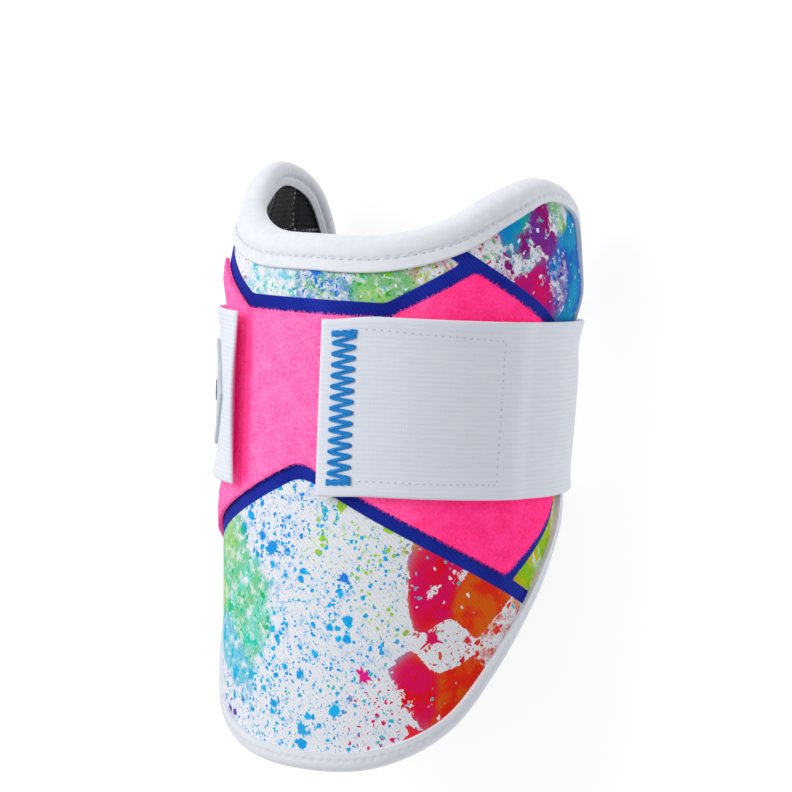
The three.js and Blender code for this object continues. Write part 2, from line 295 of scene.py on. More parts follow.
# %% [markdown]
# Every layer of the guard is a sheet with a thickness: a grid of points for its outer face, one for
# its inner face and a rim between them. A plane with Subdivision and Solidify modifiers would look
# alike, but its edges couldn't be rounded at will. numpy builds the grids here, which is quick
# enough for a mesh with a point each millimetre.

# %% Meshes
def quads(columns, rows, start=0):
    i, j = np.meshgrid(np.arange(columns), np.arange(rows), indexing="ij")
    a = start + i * (rows + 1) + j
    return np.stack([a, a + rows + 1, a + rows + 2, a + 1], -1).reshape(-1, 4)


def thick_sheet(outer, inner):
    """Points and faces of a closed sheet between two grids of points, columns by rows."""
    columns, rows = outer.shape[0] - 1, outer.shape[1] - 1
    count = outer.shape[0] * outer.shape[1]
    number = np.arange(count).reshape(outer.shape[:2])
    rim = np.concatenate([number[:, 0], number[-1, 1:], number[-2::-1, -1], number[0, -2:0:-1]])
    after = np.roll(rim, -1)
    side = np.stack([after, rim, rim + count, after + count], -1)
    faces = np.concatenate([quads(columns, rows), quads(columns, rows, count)[:, ::-1], side])
    return np.concatenate([outer.reshape(-1, 3), inner.reshape(-1, 3)]), faces


def ring_tube(rings, closed=True):
    """Points and faces of a tube through rings of points, joined end to end or with flat ends."""
    count, around = rings.shape[:2]
    i, k = np.meshgrid(np.arange(count if closed else count - 1), np.arange(around), indexing="ij")
    a, b = i * around, (i + 1) % count * around
    n = (k + 1) % around
    faces = np.stack([a + k, b + k, b + n, a + n], -1).reshape(-1, 4).tolist()
    if not closed:
        faces.append(list(range(around)))
        faces.append([(count - 1) * around + k for k in range(around - 1, -1, -1)])
    return rings.reshape(-1, 3), faces


def make_piece(name, points, faces, material, slot, sharp=50):
    """A smooth-shaded object that rides on the guard's only body."""
    mesh = bpy.data.meshes.new(name)
    faces = faces.tolist() if isinstance(faces, np.ndarray) else faces
    mesh.from_pydata((points * MM).tolist(), [], faces)
    mesh.shade_smooth()
    mesh.set_sharp_from_angle(angle=math.radians(sharp))
    mesh.materials.append(material)
    piece = bpy.data.objects.new(name, mesh)
    bpy.context.scene.collection.objects.link(piece)
    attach(piece, "root")
    print(name, "has", len(mesh.polygons), "faces")
    return piece


def store(piece, name, values):
    """Keeps one value, a vector or a colour for each point of a piece, for its material to read."""
    values = np.asarray(values, np.float32)
    kind = {1: ("FLOAT", "value"), 3: ("FLOAT_VECTOR", "vector"), 4: ("FLOAT_COLOR", "color")}
    form, field = kind[1 if values.ndim == 1 else values.shape[1]]
    piece.data.attributes.new(name, form, "POINT").data.foreach_set(field, values.ravel())


def store_wrap(piece, x, y):
    """Keeps the unrolled places of a sheet's points, the same for both its faces, and gives them back."""
    places = np.tile(np.column_stack([x.ravel(), y.ravel(), 0 * x.ravel()]), (2, 1))
    store(piece, "wrap", places)
    return places[:, 0], places[:, 1]


# %% [markdown]
# Cloth, tape and rubber are told apart by their grain. It could come from pictures, but a picture
# blurs when the camera comes near, so every material is a small tree of nodes. These helpers keep
# each tree readable: add makes a node and fills or links its sockets, and the others stand for the
# sums and mixes that every cloth needs.

# %% Nodes
def ink(red, green, blue):
    """A colour given as it looks on a screen, from 0 to 255, in Blender's linear light."""
    shares = (red / 255, green / 255, blue / 255)
    dark = 10 / 255
    return tuple(((c + 0.055) / 1.055) ** 2.4 if c > dark else c / 12.92 for c in shares) + (1,)


def add(tree, kind, inputs=None, **settings):
    made = tree.nodes.new(kind)
    for name, value in settings.items():
        setattr(made, name, value)
    for name, value in (inputs or {}).items():
        if isinstance(value, bpy.types.NodeSocket):
            tree.links.new(value, made.inputs[name])
        else:
            made.inputs[name].default_value = value
    return made


def reckon(tree, operation, *values):
    return add(tree, "ShaderNodeMath", dict(enumerate(values)), operation=operation).outputs[0]


def reckon_vectors(tree, operation, *values):
    return add(tree, "ShaderNodeVectorMath", dict(enumerate(values)), operation=operation).outputs[0]


def blend_colours(tree, factor, a, b):
    return add(tree, "ShaderNodeMix", {0: factor, 6: a, 7: b}, data_type="RGBA").outputs[2]


def between(tree, value, low, high, to_low=0, to_high=1):
    """Maps value from low..high to to_low..to_high, held at both ends."""
    inputs = {"Value": value, "From Min": low, "From Max": high, "To Min": to_low, "To Max": to_high}
    return add(tree, "ShaderNodeMapRange", inputs).outputs[0]


def noise(tree, place, size, detail=2, roughness=0.5):
    inputs = {"Vector": place, "Scale": 1 / size, "Detail": detail, "Roughness": roughness}
    return add(tree, "ShaderNodeTexNoise", inputs).outputs[0]


def stored(tree, name, output="Fac"):
    return add(tree, "ShaderNodeAttribute", attribute_name=name).outputs[output]


def start_material(name, roughness, sheen=0.0, sheen_roughness=0.5):
    material = bpy.data.materials.new(name)
    material.use_nodes = True
    tree = material.node_tree
    shader = tree.nodes["Principled BSDF"]
    shader.inputs["Roughness"].default_value = roughness
    shader.inputs["Specular IOR Level"].default_value = 0.3
    shader.inputs["Sheen Weight"].default_value = sheen
    shader.inputs["Sheen Roughness"].default_value = sheen_roughness
    return material, tree, shader


def finish_material(tree, shader, colour, height, depth):
    """Links the colour, and a bump whose height is depth millimetres where height is 1."""
    tree.links.new(colour, shader.inputs["Base Color"])
    bump = add(tree, "ShaderNodeBump", {"Height": height, "Distance": depth * MM, "Strength": 1.0})
    tree.links.new(bump.outputs["Normal"], shader.inputs["Normal"])


# %% [markdown]
# The photograph looks at the front of the guard almost straight on, turned a third of the way to
# its right side. A camera could be aimed by eye, with a constraint. Here its axes are worked out
# from three angles and one known scale, the strap's width in pixels, so that the guard fills the
# picture as it should. The lens is long, from about 0.9 m, and the sides stay almost parallel.

# %% Camera
image_side = 792
focal_pixels = 3000
strap_middle_pixel = (400, 399)
strap_width_pixels = 168
scale_at_axis = strap_width / strap_width_pixels
camera_azimuth = math.radians(31.2)
camera_elevation = math.radians(4)
camera_roll = math.radians(3)

back = Vector(
    (
        math.sin(camera_azimuth) * math.cos(camera_elevation),
        math.sin(camera_elevation),
        math.cos(camera_azimuth) * math.cos(camera_elevation),
    )
)
level_right = Vector((0, 1, 0)).cross(back).normalized()
level_up = back.cross(level_right)
right = level_right * math.cos(camera_roll) + level_up * math.sin(camera_roll)
up = level_up * math.cos(camera_roll) - level_right * math.sin(camera_roll)
distance = focal_pixels * scale_at_axis * MM
aside = [(pixel - image_side / 2) * scale_at_axis * MM for pixel in strap_middle_pixel]
lens = bpy.data.cameras.new("camera")
lens.lens = focal_pixels / image_side * lens.sensor_width
camera = bpy.data.objects.new("camera", lens)
bpy.context.scene.collection.objects.link(camera)
axes = Matrix((right, up, back)).transposed()
place = Vector((0, 0, axis_height * MM)) + back * distance - right * aside[0] + up * aside[1]
camera.matrix_world = Matrix.Translation(place) @ axes.to_4x4()
bpy.context.scene.camera = camera
print("camera distance, m:", round(distance, 3))

# %% [markdown]
# The cover is the stiff shell with its printed fabric. It could be cut out of a larger sheet with a
# Boolean, which leaves a ragged mesh along the edge. One grid is stretched between the four corners
# of the cut edge instead, so its outer rows follow the edge exactly. Each point keeps its unrolled
# place, because cloth is printed flat: the print then follows the curve without any stretching of
# its own.

# %% Grid of the wall
def wall_grid(columns, rows, inset):
    """Unrolled places, columns by rows, whose four sides run along the outline moved in by inset."""
    u = np.linspace(0, 1, columns + 1)
    v = np.linspace(0, 1, rows + 1)

    def side(start, end, t):
        return np.stack(edge_place(lerp(start, end, t), inset)[:2], -1)

    top = side(-ear_corner, ear_corner, u)
    bottom = side(1 - lobe_corner, lobe_corner, u)
    left = side(1 - lobe_corner, 1 - ear_corner, v)
    right = side(lobe_corner, ear_corner, v)
    u = u[:, None, None]
    v = v[None, :, None]
    corners = lerp(lerp(left[0], right[0], u), lerp(left[-1], right[-1], u), v)
    return lerp(bottom[:, None], top[:, None], v) + lerp(left[None], right[None], u) - corners


# %% [markdown]
# The print has navy bands that frame the loop panel and run on past its corners, and paint that is
# thrown, sprayed and dripped. It could be painted by hand as a picture on UVs. Here the bands are
# lines on the unrolled sheet, and each point stores its distance from them, so that their edges
# stay sharp. The paint's colours change from place to place, so a table of zones is blended into
# soft colour fields, and the material only has to draw the drops.

# %% Layout of the print
PER_DEGREE = wall_radius * math.pi / 180
band_width = 4.3
peak_rounding = 3.8
side_rounding = 1.2
peak_reach = 25

# Zones of paint: degrees round the arm, millimetres along it, reach, two inks, and the shares of solid
# paint, of spray and of drops.
ZONES = [
    (-105, 20, 24, ink(50, 170, 220), ink(60, 100, 220), 0.3, 0.3, 0.5),
    (-75, 48, 18, ink(60, 190, 220), ink(225, 60, 160), 0.3, 0.3, 0.5),
    (-40, 46, 12, ink(60, 190, 220), ink(225, 60, 160), 0.02, 0.2, 0.6),
    (-18, 38, 10, ink(50, 190, 225), ink(70, 200, 180), 0.04, 0.42, 0.8),
    (4, 38, 8, ink(30, 160, 100), ink(10, 110, 215), 0.16, 0.55, 0.9),
    (24, 38, 8, ink(120, 200, 40), ink(50, 170, 60), 0.2, 0.66, 0.9),
    (36, 44, 6, ink(150, 205, 60), ink(200, 40, 100), 0.1, 0.5, 0.9),
    (54, 52, 6, ink(70, 190, 100), ink(210, 0, 110), 0.38, 0.35, 1),
    (66, 57, 7, ink(0, 170, 160), ink(0, 140, 210), 0.62, 0.4, 1),
    (71, 46, 6, ink(140, 10, 120), ink(0, 150, 190), 0.5, 0.4, 1),
    (80, 52, 6, ink(110, 40, 150), ink(150, 0, 110), 0.55, 0.45, 1),
    (76, 36, 7, ink(214, 0, 100), ink(170, 10, 130), 0.72, 0.4, 0.9),
    (90, 40, 6, ink(80, 40, 160), ink(10, 110, 200), 0.5, 0.6, 1),
    (92, 58, 5, ink(120, 190, 30), ink(0, 140, 210), 0.4, 0.55, 1),
    (106, 44, 11, ink(0, 100, 190), ink(0, 146, 196), 0.85, 0.8, 0.8),
    (-110, -18, 18, ink(60, 190, 150), ink(130, 205, 80), 0.3, 0.5, 0.5),
    (-48, -50, 12, ink(130, 200, 70), ink(40, 190, 130), 0.2, 0.6, 0.7),
    (-30, -62, 10, ink(30, 205, 175), ink(40, 190, 100), 0.3, 0.62, 0.6),
    (-38, -74, 9, ink(0, 190, 200), ink(20, 180, 225), 0.34, 0.62, 0.6),
    (-44, -88, 8, ink(40, 175, 225), ink(90, 60, 170), 0.06, 0.25, 0.8),
    (-8, -30, 10, ink(10, 170, 238), ink(10, 145, 228), 0.16, 0.3, 1),
    (14, -38, 9, ink(160, 210, 40), ink(20, 180, 235), 0.08, 0.25, 1),
    (10, -60, 12, ink(20, 185, 240), ink(10, 165, 235), 0.16, 0.3, 1),
    (2, -84, 12, ink(20, 180, 235), ink(20, 160, 225), 0.08, 0.25, 1),
    (28, -54, 8, ink(150, 205, 40), ink(20, 170, 230), 0.06, 0.25, 0.9),
    (30, -90, 8, ink(20, 170, 230), ink(226, 20, 100), 0.1, 0.2, 0.7),
    (44, -52, 7, ink(222, 4, 92), ink(226, 8, 40), 0.74, 0.3, 0.7),
    (60, -56, 6, ink(226, 40, 10), ink(222, 92, 4), 0.7, 0.4, 0.7),
    (52, -66, 6, ink(222, 20, 70), ink(222, 80, 30), 0.08, 0.1, 0.9),
    (70, -66, 5, ink(214, 60, 20), ink(216, 96, 10), 0.16, 0.42, 1),
    (43, -80, 6, ink(224, 6, 86), ink(228, 10, 26), 0.66, 0.3, 0.7),
    (58, -80, 8, ink(228, 34, 8), ink(212, 90, 0), 0.8, 0.4, 0.6),
    (98, -38, 8, ink(140, 195, 20), ink(206, 190, 0), 0.55, 0.6, 0.7),
]


def mirrored_line(points):
    """A line given for the right half, from the middle outwards, with its mirror image before it."""
    half = np.array(points, float)
    return np.concatenate([half[:0:-1] * (-1, 1), half])


def moved_aside(line, width):
    """A line moved to its left by width, with mitred corners."""
    step = np.diff(line, axis=0)
    step /= np.linalg.norm(step, axis=1)[:, None]
    normal = np.column_stack([-step[:, 1], step[:, 0]])
    before = np.vstack([normal[:1], normal])
    after = np.vstack([normal, normal[-1:]])
    mitre = (before + after) / (1 + np.sum(before * after, axis=1))[:, None]
    return line + mitre * width


def distance_to_line(x, y, line):
    nearest = np.full(x.shape, np.inf)
    for (x0, y0), (x1, y1) in zip(line[:-1], line[1:]):
        ahead = (x - x0) * (x1 - x0) + (y - y0) * (y1 - y0)
        t = np.clip(ahead / ((x1 - x0) ** 2 + (y1 - y0) ** 2), 0, 1)
        nearest = np.minimum(nearest, np.hypot(x - lerp(x0, x1, t), y - lerp(y0, y1, t)))
    return nearest


PANEL_ROUND = [round_arm(share) for share, _, _ in PANEL]
PANEL_TOP = mirrored_line([(round_arm(share), along_arm(top)) for share, top, _ in PANEL])
PANEL_BOTTOM = mirrored_line([(round_arm(share), along_arm(bottom)) for share, _, bottom in PANEL])

# Stubs of band that run straight on from the panel's corners: a place on the middle line and its far end.
BAND_STUBS = [
    [(49.4, 41.7), (38.8, 47.4)],
    [(64.0, -47.6), (76.7, -53.4)],
    [(96.0, 17.9), (108.5, 11.7)],
    [(96.4, -22.6), (107.2, -13.7)],
]


def line_height(x, line):
    """The height of a line at places x, with its corners rounded off, most of all at the middle peak."""
    rounding = lerp(peak_rounding, side_rounding, smooth(np.abs(x) / peak_reach))
    return np.mean([np.interp(x + step * rounding, *line.T) for step in np.linspace(-1, 1, 9)], axis=0)


def depth_in_bands(x, y):
    """How deep a place lies in the navy, which frames the panel and also lies under it."""
    along = np.linspace(-PANEL_ROUND[-1], PANEL_ROUND[-1], 161)
    top = np.column_stack([along, line_height(along, moved_aside(PANEL_TOP, band_width))])
    bottom = np.column_stack([along, line_height(along, moved_aside(PANEL_BOTTOM, -band_width))])
    inside = (y < np.interp(x, *top.T)) & (y > np.interp(x, *bottom.T)) & (np.abs(x) < PANEL_ROUND[-1])
    edge = np.minimum(distance_to_line(x, y, top), distance_to_line(x, y, bottom))
    depth = np.where(inside, edge, -edge)
    for stub in BAND_STUBS:
        depth = np.maximum(depth, band_width / 2 - distance_to_line(np.abs(x), y, np.array(stub)))
    return depth


def paint_fields(x, y):
    """The two inks and the shares of solid paint, spray and drops at each place."""
    total = 0
    mixed = 0
    for angle, along, reach, first, second, solid, spray, drop in ZONES:
        weight = 1 / (0.1 + ((x - angle * PER_DEGREE) ** 2 + (y - along) ** 2) / reach**2) ** 6
        total = total + weight
        mixed = mixed + weight[..., None] * np.array([*first, *second, solid, spray, drop])
    mixed = mixed / total[..., None]
    return {
        "first_ink": mixed[..., :4],
        "second_ink": mixed[..., 4:8],
        "solid": mixed[..., 8],
        "spray": mixed[..., 9],
        "drops": mixed[..., 10],
    }


print("print has", len(ZONES), "zones of paint")

# %% [markdown]
# Real paint lands as drops of many sizes. Scattered little meshes would make them, at a great cost
# in faces. In the material, solid paint and spray are noise that is cut off at a level, so that a
# zone's share of paint decides how much of it is covered. Drops come from Voronoi cells: a cell's
# random colour decides whether it holds a drop, how large it is and which ink it has. Splashes with
# points are made by a group that is used once for each of them.

# %% Drops and spray
# Splashes: degrees round the arm, millimetres along it, radius and ink.
SPLASHES = [
    (70, -62, 1.7, ink(228, 60, 50)),
    (46, -64, 2.4, ink(224, 20, 90)),
    (42, -92, 2.6, ink(236, 40, 60)),
    (24, -76, 1.9, ink(226, 30, 140)),
    (16, -48, 1.7, ink(30, 130, 225)),
    (-12, -42, 2.3, ink(30, 150, 225)),
    (-22, -80, 2.0, ink(50, 180, 215)),
    (2, -93, 2.0, ink(40, 170, 225)),
    (60, 53, 1.8, ink(200, 20, 110)),
    (84, 47, 2.0, ink(130, 40, 150)),
    (-32, 41, 1.6, ink(226, 50, 140)),
    (2, 38, 1.7, ink(30, 120, 220)),
]


def splash_group():
    group = bpy.data.node_groups.new("splash", "ShaderNodeTree")
    for name, kind in (("Place", "Vector"), ("Middle", "Vector"), ("Radius", "Float")):
        group.interface.new_socket(name, in_out="INPUT", socket_type="NodeSocket" + kind)
    group.interface.new_socket("Share", in_out="OUTPUT", socket_type="NodeSocketFloat")
    given = add(group, "NodeGroupInput").outputs
    result = add(group, "NodeGroupOutput")
    away = reckon_vectors(group, "SUBTRACT", given["Place"], given["Middle"])
    length = add(group, "ShaderNodeVectorMath", {0: away}, operation="LENGTH").outputs["Value"]
    heading = reckon_vectors(group, "NORMALIZE", away)
    turned = reckon_vectors(group, "ADD", heading, given["Middle"])
    wave = noise(group, turned, 0.5, 2)
    spike = reckon(group, "POWER", between(group, wave, 0.4, 0.8), 2.0)
    reach = reckon(group, "MULTIPLY", given["Radius"], reckon(group, "MULTIPLY_ADD", spike, 2.0, 0.7))
    inside = reckon(group, "SUBTRACT", reach, length)
    group.links.new(between(group, inside, -0.12, 0.12), result.inputs["Share"])
    return group


def paint_drops(tree, place, size, share, largest):
    """Where the round drops of one size lie, and the random number of each."""
    cells = add(tree, "ShaderNodeTexVoronoi", {"Vector": place, "Scale": 1 / size, "Randomness": 1.0})
    luck = add(tree, "ShaderNodeSeparateColor", {"Color": cells.outputs["Color"]}).outputs
    present = reckon(tree, "LESS_THAN", luck[0], share)
    radius = reckon(tree, "MULTIPLY_ADD", luck[1], largest * 0.8, largest * 0.2)
    inside = reckon(tree, "SUBTRACT", radius, cells.outputs["Distance"])
    return reckon(tree, "MULTIPLY", present, between(tree, inside, -0.03, 0.03)), luck[2]


def cut_noise(tree, place, size, share, softness):
    """Noise cut off at the level that covers about share of the cloth."""
    wave = noise(tree, place, size, 5, 0.62)
    above = reckon(tree, "ADD", wave, reckon(tree, "MULTIPLY_ADD", share, 0.6, -0.8))
    return between(tree, above, -softness, softness)


def pushed_aside(tree, place):
    """The place moved by a wandering noise, so that the paint has no even edge."""
    wander = {"Vector": place, "Scale": 0.5, "Detail": 3.0}
    drift = add(tree, "ShaderNodeTexNoise", wander).outputs["Color"]
    drift = reckon_vectors(tree, "SUBTRACT", drift, (0.5, 0.5, 0.5))
    return reckon_vectors(tree, "MULTIPLY_ADD", drift, (2.5, 2.5, 0), place)


# Drops under the solid paint: size of a cell, and the largest drop's share of it.
DROPS = [(5.4, 0.34), (2.6, 0.44), (1.4, 0.46), (0.8, 0.42)]
white_cloth = ink(228, 230, 236)
white_drop = ink(230, 232, 238)
late_drop = ink(60, 190, 200)


def painted(tree, place):
    """The colour of the cloth with its spray, drops and solid paint, and late drops over them."""
    first = stored(tree, "first_ink", "Color")
    second = stored(tree, "second_ink", "Color")
    share = stored(tree, "drops")
    pushed = pushed_aside(tree, place)
    which = between(tree, noise(tree, place, 8, 3), 0.42, 0.58)
    paint = blend_colours(tree, which, first, second)
    spray = cut_noise(tree, pushed, 3.2, stored(tree, "spray"), 0.09)
    colour = blend_colours(tree, reckon(tree, "MULTIPLY", spray, 0.8), white_cloth, paint)
    for size, largest in DROPS:
        shape, luck = paint_drops(tree, pushed, size, reckon(tree, "MULTIPLY", share, 0.5), largest)
        drop_ink = blend_colours(tree, reckon(tree, "GREATER_THAN", luck, 0.5), first, second)
        colour = blend_colours(tree, shape, colour, drop_ink)
    solid = cut_noise(tree, pushed, 11, stored(tree, "solid"), 0.008)
    colour = blend_colours(tree, solid, colour, paint)
    late, luck = paint_drops(tree, pushed, 1.5, reckon(tree, "MULTIPLY", share, 0.34), 0.42)
    late_ink = blend_colours(tree, reckon(tree, "GREATER_THAN", luck, 0.5), second, late_drop)
    colour = blend_colours(tree, late, colour, late_ink)
    white_speck, _ = paint_drops(tree, pushed, 1.6, 0.12, 0.4)
    return blend_colours(tree, white_speck, colour, white_drop)


def splashed(tree, place, colour):
    group = splash_group()
    for angle, along, radius, splash_ink in SPLASHES:
        splash = add(tree, "ShaderNodeGroup", node_tree=group)
        tree.links.new(place, splash.inputs["Place"])
        splash.inputs["Middle"].default_value = (angle * PER_DEGREE, along, 0)
        splash.inputs["Radius"].default_value = radius
        colour = blend_colours(tree, splash.outputs["Share"], colour, splash_ink)
    return colour


print("print has", len(SPLASHES), "splashes and", len(DROPS), "sizes of drops")

# %% [markdown]
# The cloth under the paint is a stretch knit. Its stitches are far too small to model, and a bump
# alone wouldn't show from this far. So rows of small slanting stitches bend the light, and a painted
# shade darkens the colour between them, more on the navy than on the white.

# %% Printed fabric
weave_pitch = 1.15
weave_step = 1.5


def weave(tree, place):
    """Height of rows of slanting stitches, each row half a step on from the last."""
    x, y, _ = add(tree, "ShaderNodeSeparateXYZ", {"Vector": place}).outputs
    slant = reckon(tree, "MULTIPLY", reckon(tree, "ADD", x, y), 1 / weave_pitch / math.sqrt(2))
    rise = reckon(tree, "MULTIPLY", reckon(tree, "SUBTRACT", x, y), 1 / weave_step / math.sqrt(2))
    row = reckon(tree, "FLOOR", slant)
    rise = reckon(tree, "MULTIPLY_ADD", row, 0.5, rise)
    ridge = reckon(tree, "ABSOLUTE", reckon(tree, "SINE", reckon(tree, "MULTIPLY", slant, math.pi)))
    stitch = reckon(tree, "ABSOLUTE", reckon(tree, "SINE", reckon(tree, "MULTIPLY", rise, math.pi)))
    return reckon(tree, "MULTIPLY", ridge, reckon(tree, "MULTIPLY_ADD", stitch, 0.6, 0.4))


def printed_fabric():
    material, tree, shader = start_material("printed fabric", 0.8)
    shader.inputs["Specular IOR Level"].default_value = 0.12
    place = stored(tree, "wrap", "Vector")
    colour = splashed(tree, place, painted(tree, place))
    shade = between(tree, noise(tree, place, 20, 2), 0.3, 0.7)
    navy = blend_colours(tree, shade, ink(14, 30, 140), ink(28, 52, 172))
    on_band = between(tree, stored(tree, "band"), -0.12, 0.12)
    colour = blend_colours(tree, on_band, colour, navy)
    stitches = weave(tree, place)
    # Painted shade: the colour is darkened between the stitch rows, more on the navy band.
    stitch_gap_shade = reckon(tree, "MULTIPLY_ADD", on_band, 0.3, 0.12)
    stitch_gap_shade = reckon(tree, "MULTIPLY", between(tree, stitches, 0, 0.45, 1, 0), stitch_gap_shade)
    colour = blend_colours(tree, stitch_gap_shade, colour, ink(10, 12, 60))
    finish_material(tree, shader, colour, stitches, 0.045)
    return material


# %% [markdown]
# The cover itself is one thick sheet. Its outer and inner faces could be two pieces, but a single
# closed mesh has a true thickness at the cut edge, under the binding.

# %% Cover
cover_columns = 260
cover_rows = 190

unrolled = wall_grid(cover_columns, cover_rows, roll_reach)
flat_x = unrolled[..., 0]
flat_y = unrolled[..., 1]
cover = make_piece(
    "cover",
    *thick_sheet(wall_point(flat_x, flat_y, 0), wall_point(flat_x, flat_y, -shell_thickness)),
    printed_fabric(),
    "printed_fabric",
)
places = store_wrap(cover, flat_x, flat_y)
store(cover, "band", depth_in_bands(*places))
for name, values in paint_fields(*places).items():
    store(cover, name, values)
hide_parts("padded_shell")

# %% [markdown]
# The lining is a black mesh cloth over soft foam, quilted in large polygons with dotted grooves.
# The quilting could be real channels in a finer mesh. Little of it shows, over the dip and inside
# the far ear, so its ribs and grooves are a bump and a colour on the same unrolled places. The
# ribs' crests carry a painted highlight and their troughs a painted shade.

# %% Lining
lining_rib_pitch = 1.5
groove_dot_pitch = 1.5
quilt_size = 17


def lining_mesh():
    material, tree, shader = start_material("lining mesh", 0.75, sheen=0.1)
    place = stored(tree, "wrap", "Vector")
    split = add(tree, "ShaderNodeSeparateXYZ", {"Vector": place}).outputs
    rib = reckon(tree, "SINE", reckon(tree, "MULTIPLY", split[1], 2 * math.pi / lining_rib_pitch))
    hole = reckon(tree, "SINE", reckon(tree, "MULTIPLY", split[0], 2 * math.pi / lining_rib_pitch))
    knit = reckon(tree, "MULTIPLY_ADD", reckon(tree, "MULTIPLY", rib, hole), 0.15, rib)
    cell = {"Vector": place, "Scale": 1 / quilt_size, "Randomness": 0.45}
    groove = add(tree, "ShaderNodeTexVoronoi", cell, feature="DISTANCE_TO_EDGE").outputs["Distance"]
    in_groove = between(tree, groove, 0.018, 0.03, 1, 0)
    dotted = {"Vector": place, "Scale": 1 / groove_dot_pitch, "Randomness": 0.2}
    dot = add(tree, "ShaderNodeTexVoronoi", dotted).outputs["Distance"]
    dot = between(tree, dot, 0.3, 0.36, 1, 0)
    # Painted light and shade: the ribs' crests are painted lighter and their troughs darker.
    colour = blend_colours(tree, between(tree, knit, -0.3, 1), ink(3, 3, 5), ink(34, 34, 40))
    colour = blend_colours(tree, reckon(tree, "MULTIPLY", in_groove, dot), colour, ink(168, 170, 178))
    height = reckon(tree, "MULTIPLY_ADD", between(tree, groove, 0, 0.2), 3, knit)
    finish_material(tree, shader, colour, height, 0.25)
    return material


lining_columns = 120
lining_rows = 100

unrolled = wall_grid(lining_columns, lining_rows, roll_reach)
flat_x = unrolled[..., 0]
flat_y = unrolled[..., 1]
lining_face = -shell_thickness - touch_gap
lining = make_piece(
    "lining_foam",
    *thick_sheet(wall_point(flat_x, flat_y, lining_face), wall_point(flat_x, flat_y, -wall_thickness)),
    lining_mesh(),
    "lining_mesh",
)
store_wrap(lining, flat_x, flat_y)
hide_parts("lining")

# %% [markdown]
# The binding is a soft white tape folded over the wall's edge and sewn down. A curve with a bevel
# would give a plain round cord. Sweeping a section of its own round the outline gives it a padded
# roll, a crease where the stitches pull it in, and a flat band beyond them. Small puckers along its
# length keep it from looking like a moulded part.

# %% Edge binding
binding_steps = 680
binding_join = 0.72
roll_lift = 0.4
crease_depth = 0.22
crease_width = 0.45
narrow_crease = 3.5
wide_crease = 6.6
inner_crease = 4.6
inner_crease_depth = 0.55
inner_crease_width = 0.4
inner_pillow = 0.2


def pucker(along, scale, seed):
    """A smooth wave of random height along the closed outline."""
    rng = np.random.default_rng(seed)
    count = max(4, int(outline_length / scale))
    knots = rng.uniform(-1, 1, count)
    place = along / outline_length * count
    i = np.floor(place).astype(int)
    t = place - i
    return lerp(knots[i % count], knots[(i + 1) % count], t * t * (3 - 2 * t))


def crease_at(band):
    """How far the stitched crease lies in from the outer edge of the roll."""
    return lerp(narrow_crease, wide_crease, smooth((band - 0.2) / 0.7))


def binding_rings():
    along = np.arange(binding_steps) / binding_steps * outline_length
    share = along / outline_length + binding_join
    band_share = edge_place(share, 0)[2]
    band = outer_band * band_share
    crease = roll_reach - crease_at(band_share)
    face = touch_gap + tape_thickness
    middle = -wall_thickness / 2
    half = wall_thickness / 2 + face
    wave = 0.12 * pucker(along, 22, 3) + 0.05 * pucker(along, 7, 4)
    section = [(-band, -0.1 + 0 * band), (-band - 0.05, face * 0.7 + 0 * band)]
    for t in np.linspace(0.04, 1, 16):
        beyond = lerp(-band, 0 * band, t)
        dip = np.exp(-(((beyond - crease) / crease_width) ** 2)) * smooth(band_share / 0.8)
        on_roll = smooth((beyond - crease) / 2.2)
        out = face + wave * 0.6 + roll_lift * on_roll - crease_depth * dip
        section.append((beyond, np.maximum(out, touch_gap + 0.25)))
    for angle in np.radians(np.linspace(72, -72, 11)):
        swell = 1 + 0.03 * np.cos(angle) * wave
        out = middle + (half + roll_lift * max(0.0, math.sin(angle))) * math.sin(angle)
        section.append((roll_reach * math.cos(angle) ** 0.8 * swell, out + 0 * band))
    for t in np.linspace(0.03, 1, 12):
        beyond = lerp(0, -inner_band, t)
        off_crease = (beyond + inner_crease - roll_reach) / inner_crease_width
        dip = inner_crease_depth * math.exp(-(off_crease**2))
        pillow = inner_pillow * math.sin(math.pi * t) if t > 0.3 else 0
        section.append((beyond + 0 * band, -wall_thickness - face - pillow + dip + wave * 0.4))
    section.append((-inner_band + 0 * band, -wall_thickness - touch_gap + 0 * band))
    section.append((cut_edge_gap + 0 * band, -wall_thickness - touch_gap + 0 * band))
    section.append((cut_edge_gap + 0 * band, touch_gap + 0 * band))
    rings = []
    across = []
    for beyond, out in section:
        x, y, _ = edge_place(share, roll_reach - beyond)
        rings.append(wall_point(x, y, out))
        across.append(beyond - crease)
    return np.stack(rings, 1), np.stack(across, 1), np.repeat(along[:, None], len(section), 1)


tape_rib_pitch = 0.7


